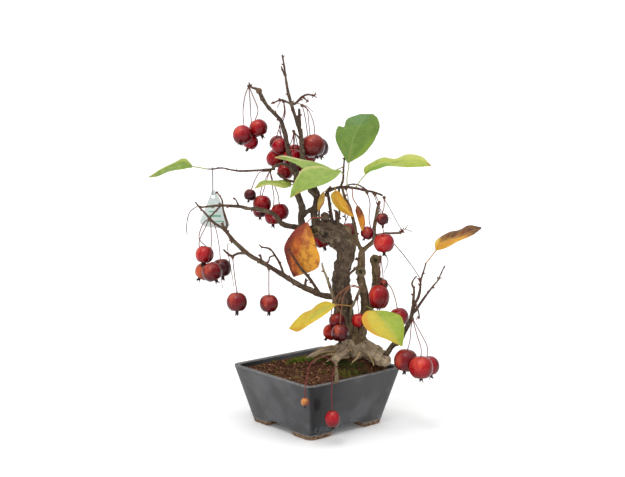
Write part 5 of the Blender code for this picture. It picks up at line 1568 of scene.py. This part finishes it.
# Each leaf: its kind, two tones of the blade, and patches (across, along, width, length, tone).
leafLooks = {
    "leaf_far_left": (greenLeaf, tone(120, 156, 56), tone(150, 178, 74), (
        (0.1, 0.5, 0.2, 0.7, tone(176, 190, 84)), (0.5, 1.0, 0.4, 0.12, tone(170, 160, 60)))),
    "leaf_left_narrow": (greenLeaf, tone(158, 190, 84), tone(182, 202, 96), (
        (0.9, 0.6, 0.3, 0.4, tone(206, 214, 120)), (0.5, 1.0, 0.5, 0.15, tone(190, 170, 80)))),
    "leaf_big_front": (greenLeaf, tone(160, 188, 88), tone(144, 178, 78), (
        (0.0, 0.35, 0.12, 0.5, tone(200, 206, 124)), (0.95, 0.9, 0.3, 0.15, tone(176, 170, 80)))),
    "leaf_big_back": (greenLeaf, tone(152, 186, 92), tone(168, 196, 104), (
        (0.0, 0.75, 0.28, 0.4, tone(222, 214, 158)), (0.5, 0.97, 0.5, 0.12, tone(196, 170, 110)))),
    "leaf_top": (greenLeaf, tone(108, 146, 62), tone(122, 156, 70), (
        (1.0, 0.12, 0.22, 0.4, tone(146, 182, 72)), (0.3, 0.9, 0.5, 0.2, tone(104, 146, 84)))),
    "leaf_right": (greenLeaf, tone(170, 192, 66), tone(190, 206, 84), (
        (0.1, 0.8, 0.3, 0.35, tone(208, 216, 108)), (0.9, 0.25, 0.3, 0.3, tone(134, 176, 60)),
        (0.5, 1.0, 0.5, 0.06, tone(190, 150, 70)))),
    "leaf_centre_yellow": (yellowLeaf, tone(236, 186, 52), tone(228, 166, 44), (
        (0.95, 0.85, 0.25, 0.3, tone(150, 80, 40)), (0.05, 0.2, 0.2, 0.3, tone(240, 206, 92)))),
    "leaf_centre_brown": (orangeLeaf, tone(230, 152, 40), tone(222, 128, 42), (
        (0.5, 0.05, 0.9, 0.34, tone(112, 60, 38)), (0.5, 0.95, 0.5, 0.2, tone(232, 178, 60)))),
    "leaf_small_tan": (yellowLeaf, tone(222, 188, 92), tone(206, 160, 78), (
        (0.9, 0.8, 0.3, 0.3, tone(170, 110, 60)),)),
    "leaf_orange": (orangeLeaf, tone(218, 122, 44), tone(196, 92, 36), (
        (0.8, 0.5, 0.34, 0.46, tone(246, 178, 58)), (0.62, 0.2, 0.2, 0.2, tone(232, 150, 70)),
        (0.0, 0.55, 0.2, 0.8, tone(104, 36, 32)), (0.2, 0.12, 0.25, 0.2, tone(150, 62, 40)),
        (0.3, 0.98, 0.6, 0.1, tone(84, 30, 28)), (0.95, 0.9, 0.3, 0.16, tone(238, 170, 72)))),
    "leaf_outer_right": (yellowLeaf, tone(234, 178, 44), tone(224, 148, 38), (
        (0.0, 0.66, 0.62, 0.5, tone(72, 32, 22)), (0.5, 1.0, 0.9, 0.3, tone(70, 34, 24)),
        (0.5, 0.7, 0.2, 0.16, tone(130, 66, 30)), (0.1, 0.15, 0.2, 0.18, tone(240, 206, 88)))),
    "leaf_low_left": (yellowLeaf, tone(234, 206, 58), tone(228, 204, 66), (
        (0.6, 0.3, 0.25, 0.3, tone(198, 200, 70)), (0.95, 0.9, 0.3, 0.2, tone(222, 170, 52)))),
    "leaf_low_right": (greenLeaf, tone(156, 184, 62), tone(174, 194, 64), (
        (0.0, 0.5, 0.52, 0.9, tone(226, 206, 72)), (0.0, 0.4, 0.14, 0.4, tone(232, 176, 60)),
        (0.5, 0.03, 0.5, 0.08, tone(206, 196, 80)))),
}


def leafPaint(name, kind, first, second, patches):
    paint = Paint(name + " blade", {"Specular IOR Level": 0.35})
    chart = paint.node("ShaderNodeUVMap", {"uv_map": "UVMap"})
    aside = paint.split(chart, 0)
    along = paint.split(chart, 1)
    where = paint.place()
    blotch = paint.noise(where, 0.006, 4.0)
    grainy = paint.noise(where, 0.0014, 3.0)
    fromRib = abs(aside - 0.5) * 2
    slanted = (along - fromRib * leafShape["slant"] * 0.5) * leafShape["veins"]
    branching = paint.smooth(abs(slanted % 1.0 - 0.5), 0.4, 0.5) * paint.smooth(fromRib, 1.0, 0.7)
    middle = paint.smooth(fromRib, 0.09, 0.02)
    body = paint.mix(paint.smooth(blotch, 0.38, 0.64), first, second)
    for u, v, wide, long, shade in patches:
        off = ((aside - u) * (1 / wide)) ** 2 + ((along - v) * (1 / long)) ** 2
        mask = paint.smooth(off + (blotch - 0.5) * kind["torn"], 1.5, 0.2)
        body = paint.mix(mask * 0.92, body, shade)
    veins = paint.smooth(branching + middle, 0.0, 1.0)
    mottle = paint.smooth(paint.noise(where, 0.007, 10.0) + veins * 0.06, 0.46, 0.62)
    body = paint.mix(mottle * kind["mottle"], body, kind["spots"])
    body = paint.mix(veins * kind["veined"], body, kind["veins"])
    body = paint.mix(1.0, body, leafShape["light"], "MULTIPLY")
    body = paint.mix(paint.smooth(grainy, 0.62, 0.72) * 0.2, body, leafShape["specks"])
    paint.drive("Base Color", body)
    paint.drive("Roughness", 0.42 + grainy * 0.25)
    paint.bump(blotch * 0.5 - veins * 0.6 + grainy * 0.2, 0.0006, 0.5)
    return paint.material


def petiolePaint(name, kind):
    paint = Paint(name + " petiole", {"Roughness": 0.55})
    patchy = paint.noise(paint.place(), 0.004, 2.0)
    paint.drive("Base Color", paint.mix(patchy * 0.5, kind["petiole"], leafShape["stalkBrown"]))
    return paint.material


def lineAt(line, share):
    # The place at a share of a smooth curve through the line's places, spans counted alike.
    spans = len(line) - 1
    index = min(int(share * spans), spans - 1)
    t = share * spans - index
    a = line[index - 1] if index else line[0] * 2 - line[1]
    b, c = line[index], line[index + 1]
    d = line[index + 2] if index + 2 <= spans else line[-1] * 2 - line[-2]
    bend = (2 * a - 5 * b + 4 * c - d) * t**2 + (3 * b - a - 3 * c + d) * t**3
    return 0.5 * (2 * b + (c - a) * t + bend)


def leafPlace(lines, u, v):
    # A place of the blade: u from edge to edge and v from the stalk to the tip.
    left, rib, right = lines
    inner = min(max(v, 0.03), 0.97)
    ahead = (lineAt(rib, inner + 0.02) - lineAt(rib, inner - 0.02)).normalized()
    lift = (lineAt(right, inner) - lineAt(left, inner)).cross(ahead).normalized()
    if lift.dot(nearer) < 0:
        lift = -lift
    spine = lineAt(rib, v)
    reach = (lineAt(left, v) if u < 0.5 else lineAt(right, v)) - spine
    out = abs(u - 0.5) * 2
    saw = (v * leafShape["teeth"]) % 1.0
    toothed = eased(out, 0.75, 1.0) * eased(v, 0.02, 0.1) * eased(1 - v, 0, 0.08)
    tooth = leafShape["tooth"] * mm * (saw - 0.5) * toothed
    place = spine + reach * out + reach.normalized() * tooth
    wave = math.sin(2 * math.pi * leafShape["veins"] * (v - out * leafShape["slant"] * 0.5))
    roll = math.sin(v * 9.0 + (0 if u < 0.5 else 2.1)) * out**2 * 0.8
    arch = 4 * out * (1 - out)
    relief = arch * (wave * leafShape["ripple"] * 0.5 + leafShape["cup"]) + roll
    return place + lift * relief * mm * eased(1 - v, 0, 0.15)


def makeLeaf(name, stalk, edges):
    # A blade between its two edges and its rib, and the stalk that runs on along the rib.
    kind, first, second, patches = leafLooks[name]
    lines = [[seen(point) for point in line] for line in edges]
    bpy.ops.mesh.primitive_grid_add(
        x_subdivisions=leafShape["columns"], y_subdivisions=leafShape["rows"], size=1, calc_uvs=True)
    blade = bpy.context.object
    for vertex in blade.data.vertices:
        vertex.co = leafPlace(lines, vertex.co.x + 0.5, vertex.co.y + 0.5)
    blade.data.uv_layers[0].name = "UVMap"
    finishWith(blade, "SOLIDIFY", thickness=leafShape["thickness"] * mm, offset=0.0)
    blade.data.materials.append(leafPaint(name, kind, first, second, patches))
    rib = lines[1]
    size = leafShape["petiole"]
    route = [seated(seen(stalk[0]), size * 0.3), *(seen(point) for point in stalk[1:]), rib[0]]
    fine = smoothWay(route, leafShape["step"] * mm)
    clear = (size + leafShape["clear"]) * mm
    fine = [fine[0]] + [pushedOut(point, clear) for point in fine[1:]]
    way = [withRadius(point, size * (1.5 if index == 0 else 1.0)) for index, point in enumerate(fine)]
    for share in (0.08, 0.2, 0.35, 0.5, 0.65, 0.8):
        way.append(withRadius(leafPlace(lines, 0.5, share) - nearer * 0.1 * mm, size * 0.75 * (1 - share)))
    petiole = tubes(name + "_petiole", [way], 8)
    petiole.data.materials.append(petiolePaint(name, kind))
    leaf = joined(name + "_blade", [blade, petiole])
    softened(leaf, 70)
    show(leaf, kind["slot"], name)


for leafName, (leafStalk, leafEdges) in leafRoutes.items():
    makeLeaf(leafName, leafStalk, leafEdges)
print("leaves made:", len(leafRoutes))

# The label's corners on the sheet.
labelOutline = (
    (213.5, 188.5), (211, 195), (208, 203), (200.3, 221), (200.6, 224), (205, 227), (217, 228.6),
    (228, 228.4), (230.3, 225.5), (222, 203), (217, 193),
)
labelLook = {
    "thickness": 0.5,
    "rounding": 0.12,
    "ink": 0.12,
    "hole": 2.0,  # radius
    "near": -36.5,
    "holeAt": (213.6, 197.0),
    "twigAt": (212.6, 169.0),
    "twig": 1.1,  # radius of the twig
    "wire": 0.3,
    "gap": 0.3,  # mm between the tie and what it goes round
    "halfWidth": 2.3,
    "plastic": tone(230, 238, 236),
    "cloudy": tone(206, 224, 218),
    "green": tone(104, 172, 136),
    "faded": tone(150, 196, 168),
    "tie": tone(34, 34, 38),
    "tieWorn": tone(84, 84, 90),
    "bars": (  # middle (across, down), length and height
        (212.5, 207.5, 5.0, 1.6), (213.5, 212.0, 9.0, 1.3),
        (214.5, 216.5, 14.0, 2.2), (215.5, 222.0, 18.0, 1.3),
    ),
}


def labelPlace(side, down):
    # How far, in metres, a place of the sheet is across and up from the label's hole.
    grow = (1 - labelLook["near"] / sheet["reach"]) * mm
    return (side - labelLook["holeAt"][0]) * grow, (labelLook["holeAt"][1] - down) * grow


def makePlate():
    # The flat plate, with the middle of its hole at the origin.
    edge = labelLook["rounding"] * mm
    hole = labelLook["hole"] * mm
    curve = bpy.data.curves.new("label", "CURVE")
    curve.dimensions = "2D"
    curve.fill_mode = "BOTH"
    curve.bevel_depth = edge
    curve.bevel_resolution = 1
    curve.offset = -edge
    curve.extrude = labelLook["thickness"] / 2 * mm - edge
    turns = [2 * math.pi * step / 24 for step in range(24)]
    ring = [(hole * math.cos(turn), hole * math.sin(turn)) for turn in turns]
    outline = [labelPlace(side, down) for side, down in labelOutline]
    for points in (outline, ring):
        spline = curve.splines.new("POLY")
        spline.points.add(len(points) - 1)
        spline.use_cyclic_u = True
        for knot, (x, y) in zip(spline.points, points):
            knot.co = (x, y, 0.0, 1.0)
    pick(shown("label", curve))
    bpy.ops.object.convert(target="MESH")
    plate = outward(bpy.context.view_layer.objects.active)
    paint = Paint("label plastic", {"Specular IOR Level": 0.5, "Transmission Weight": 0.25, "IOR": 1.2})
    cloudy = paint.noise(paint.place(), 0.006, 3.0)
    paint.drive("Base Color", paint.mix(cloudy * 0.5, labelLook["plastic"], labelLook["cloudy"]))
    paint.drive("Roughness", 0.3 + cloudy * 0.2)
    plate.data.materials.append(paint.material)
    return plate


def makeBars():
    # Plain green bars on the label's front.
    paint = Paint("label print", {"Roughness": 0.5})
    patchy = paint.noise(paint.place(), 0.002, 2.0)
    paint.drive("Base Color", paint.mix(patchy * 0.6, labelLook["green"], labelLook["faded"]))
    bars = []
    for side, down, long, tall in labelLook["bars"]:
        bpy.ops.mesh.primitive_cube_add(size=1)
        bar = bpy.context.object
        bar.data.transform(Matrix.Diagonal((long * mm, tall * mm, labelLook["ink"] * mm, 1)))
        bar.data.transform(Matrix.Translation((*labelPlace(side, down), labelLook["thickness"] / 2 * mm)))
        bar.data.materials.append(paint.material)
        bars.append(bar)
    return bars


def makeTie(twig, hole):
    # The closed loop of wire round the twig and through the label's hole.
    half, wire, gap = labelLook["halfWidth"], labelLook["wire"], labelLook["gap"]
    top = twig.z + (labelLook["twig"] + gap + wire - half) * mm
    low = hole.z + (labelLook["hole"] - wire - gap + half) * mm
    way = []
    for step in range(32):
        turn = 2 * math.pi * step / 32
        level = top if step <= 16 else low
        rise = math.sin(turn) * half * mm
        off = frontward * math.cos(turn) * half * mm
        way.append(withRadius(Vector((twig.x, twig.y, level + rise)) + off, wire))
    tie = named(tubes("labelTie", [way], 8, True), "labelTie")
    paint = Paint("tie", {"Roughness": 0.5})
    twist = paint.noise(paint.place(), 0.0012, 2.0)
    paint.drive("Base Color", paint.mix(twist, labelLook["tie"], labelLook["tieWorn"]))
    tie.data.materials.append(paint.material)
    softened(tie, 60)
    show(tie, "tie", "tag_loop")


def makeLabel():
    # A flat label that hangs upright from a twig and faces the viewer.
    twig = seen((*labelLook["twigAt"], labelLook["near"]))
    hole = Vector((twig.x, twig.y, seen((*labelLook["holeAt"], labelLook["near"])).z))
    stand = Matrix((across, Vector((0, 0, 1)), frontward)).transposed().to_4x4()
    stand.translation = hole
    label = joined("label", [makePlate(), *makeBars()])
    label.data.transform(stand)
    softened(label, 40)
    show(label, "label_plastic", "tag")
    makeTie(twig, hole)
    print("label made")


makeLabel()

stageLook = {
    "white": (1.0, 1.0, 1.0, 1.0),
    "floor": (0.97, 0.97, 0.97, 1.0),
    "floorSize": 40,
    "lift": 0.06,  # how far the floor is lit through, as a table lit from below
    "ambient": (0.5, 1.06),  # strength of the sky's light at the horizon and high up
    "high": 0.8,  # how far up the sky is at its brightest, as a share of straight up
    "backdrop": 1.05,
    "suns": (  # turn round the tree and height in degrees, strength, width in degrees
        (-12, 76, 0.6, 50),
        (45, 72, 0.2, 60),
        (-24, 60, 0.32, 9),
    ),
    "lens": 63.36,
    "sensor": 36.0,
    "clip": (0.01, 100.0),
}


def makeFloor():
    bpy.ops.mesh.primitive_plane_add(size=stageLook["floorSize"])
    floor = named(bpy.context.object, "floor")
    paint = Paint("floor", {
        "Base Color": stageLook["floor"], "Roughness": 0.8, "Specular IOR Level": 0.1,
        "Emission Color": stageLook["white"], "Emission Strength": stageLook["lift"]})
    floor.data.materials.append(paint.material)


def makeSky():
    # Soft light that grows stronger overhead. The camera sees plain white in its place.
    world = bpy.data.worlds.new("studio")
    bpy.context.scene.world = world
    world.use_nodes = True
    nodes, links = world.node_tree.nodes, world.node_tree.links
    light = nodes["Background"]
    light.inputs["Color"].default_value = stageLook["white"]
    above = nodes.new("ShaderNodeSeparateXYZ")
    links.new(nodes.new("ShaderNodeTexCoord").outputs["Generated"], above.inputs[0])
    rising = nodes.new("ShaderNodeMapRange")
    rising.inputs["From Max"].default_value = stageLook["high"]
    rising.inputs["To Min"].default_value, rising.inputs["To Max"].default_value = stageLook["ambient"]
    links.new(above.outputs["Z"], rising.inputs["Value"])
    links.new(rising.outputs[0], light.inputs["Strength"])
    behind = nodes.new("ShaderNodeBackground")
    behind.inputs["Color"].default_value = stageLook["white"]
    behind.inputs["Strength"].default_value = stageLook["backdrop"]
    chosen = nodes.new("ShaderNodeMixShader")
    links.new(nodes.new("ShaderNodeLightPath").outputs["Is Camera Ray"], chosen.inputs[0])
    links.new(light.outputs[0], chosen.inputs[1])
    links.new(behind.outputs[0], chosen.inputs[2])
    links.new(chosen.outputs[0], nodes["World Output"].inputs[0])


def makeSuns():
    for turn, rise, strength, width in stageLook["suns"]:
        heading = Matrix.Rotation(math.radians(turn), 3, "Z") @ frontward
        toward = heading * math.cos(math.radians(rise))
        toward.z = math.sin(math.radians(rise))
        aim = toward.to_track_quat("Z", "Y").to_euler()
        bpy.ops.object.light_add(type="SUN", location=toward * 3, rotation=aim)
        sun = bpy.context.object
        sun.data.energy = strength
        sun.data.angle = math.radians(width)


def makeCamera():
    turned = Matrix((across, upward, nearer)).transposed()
    bpy.ops.object.camera_add(location=eye, rotation=turned.to_euler())
    camera = bpy.context.object
    camera.data.lens = stageLook["lens"]
    camera.data.sensor_width = stageLook["sensor"]
    camera.data.clip_start, camera.data.clip_end = stageLook["clip"]
    bpy.context.scene.camera = camera
    bpy.context.scene.view_settings.view_transform = "Standard"


makeFloor()
makeSky()
makeSuns()
makeCamera()
print("stage set")
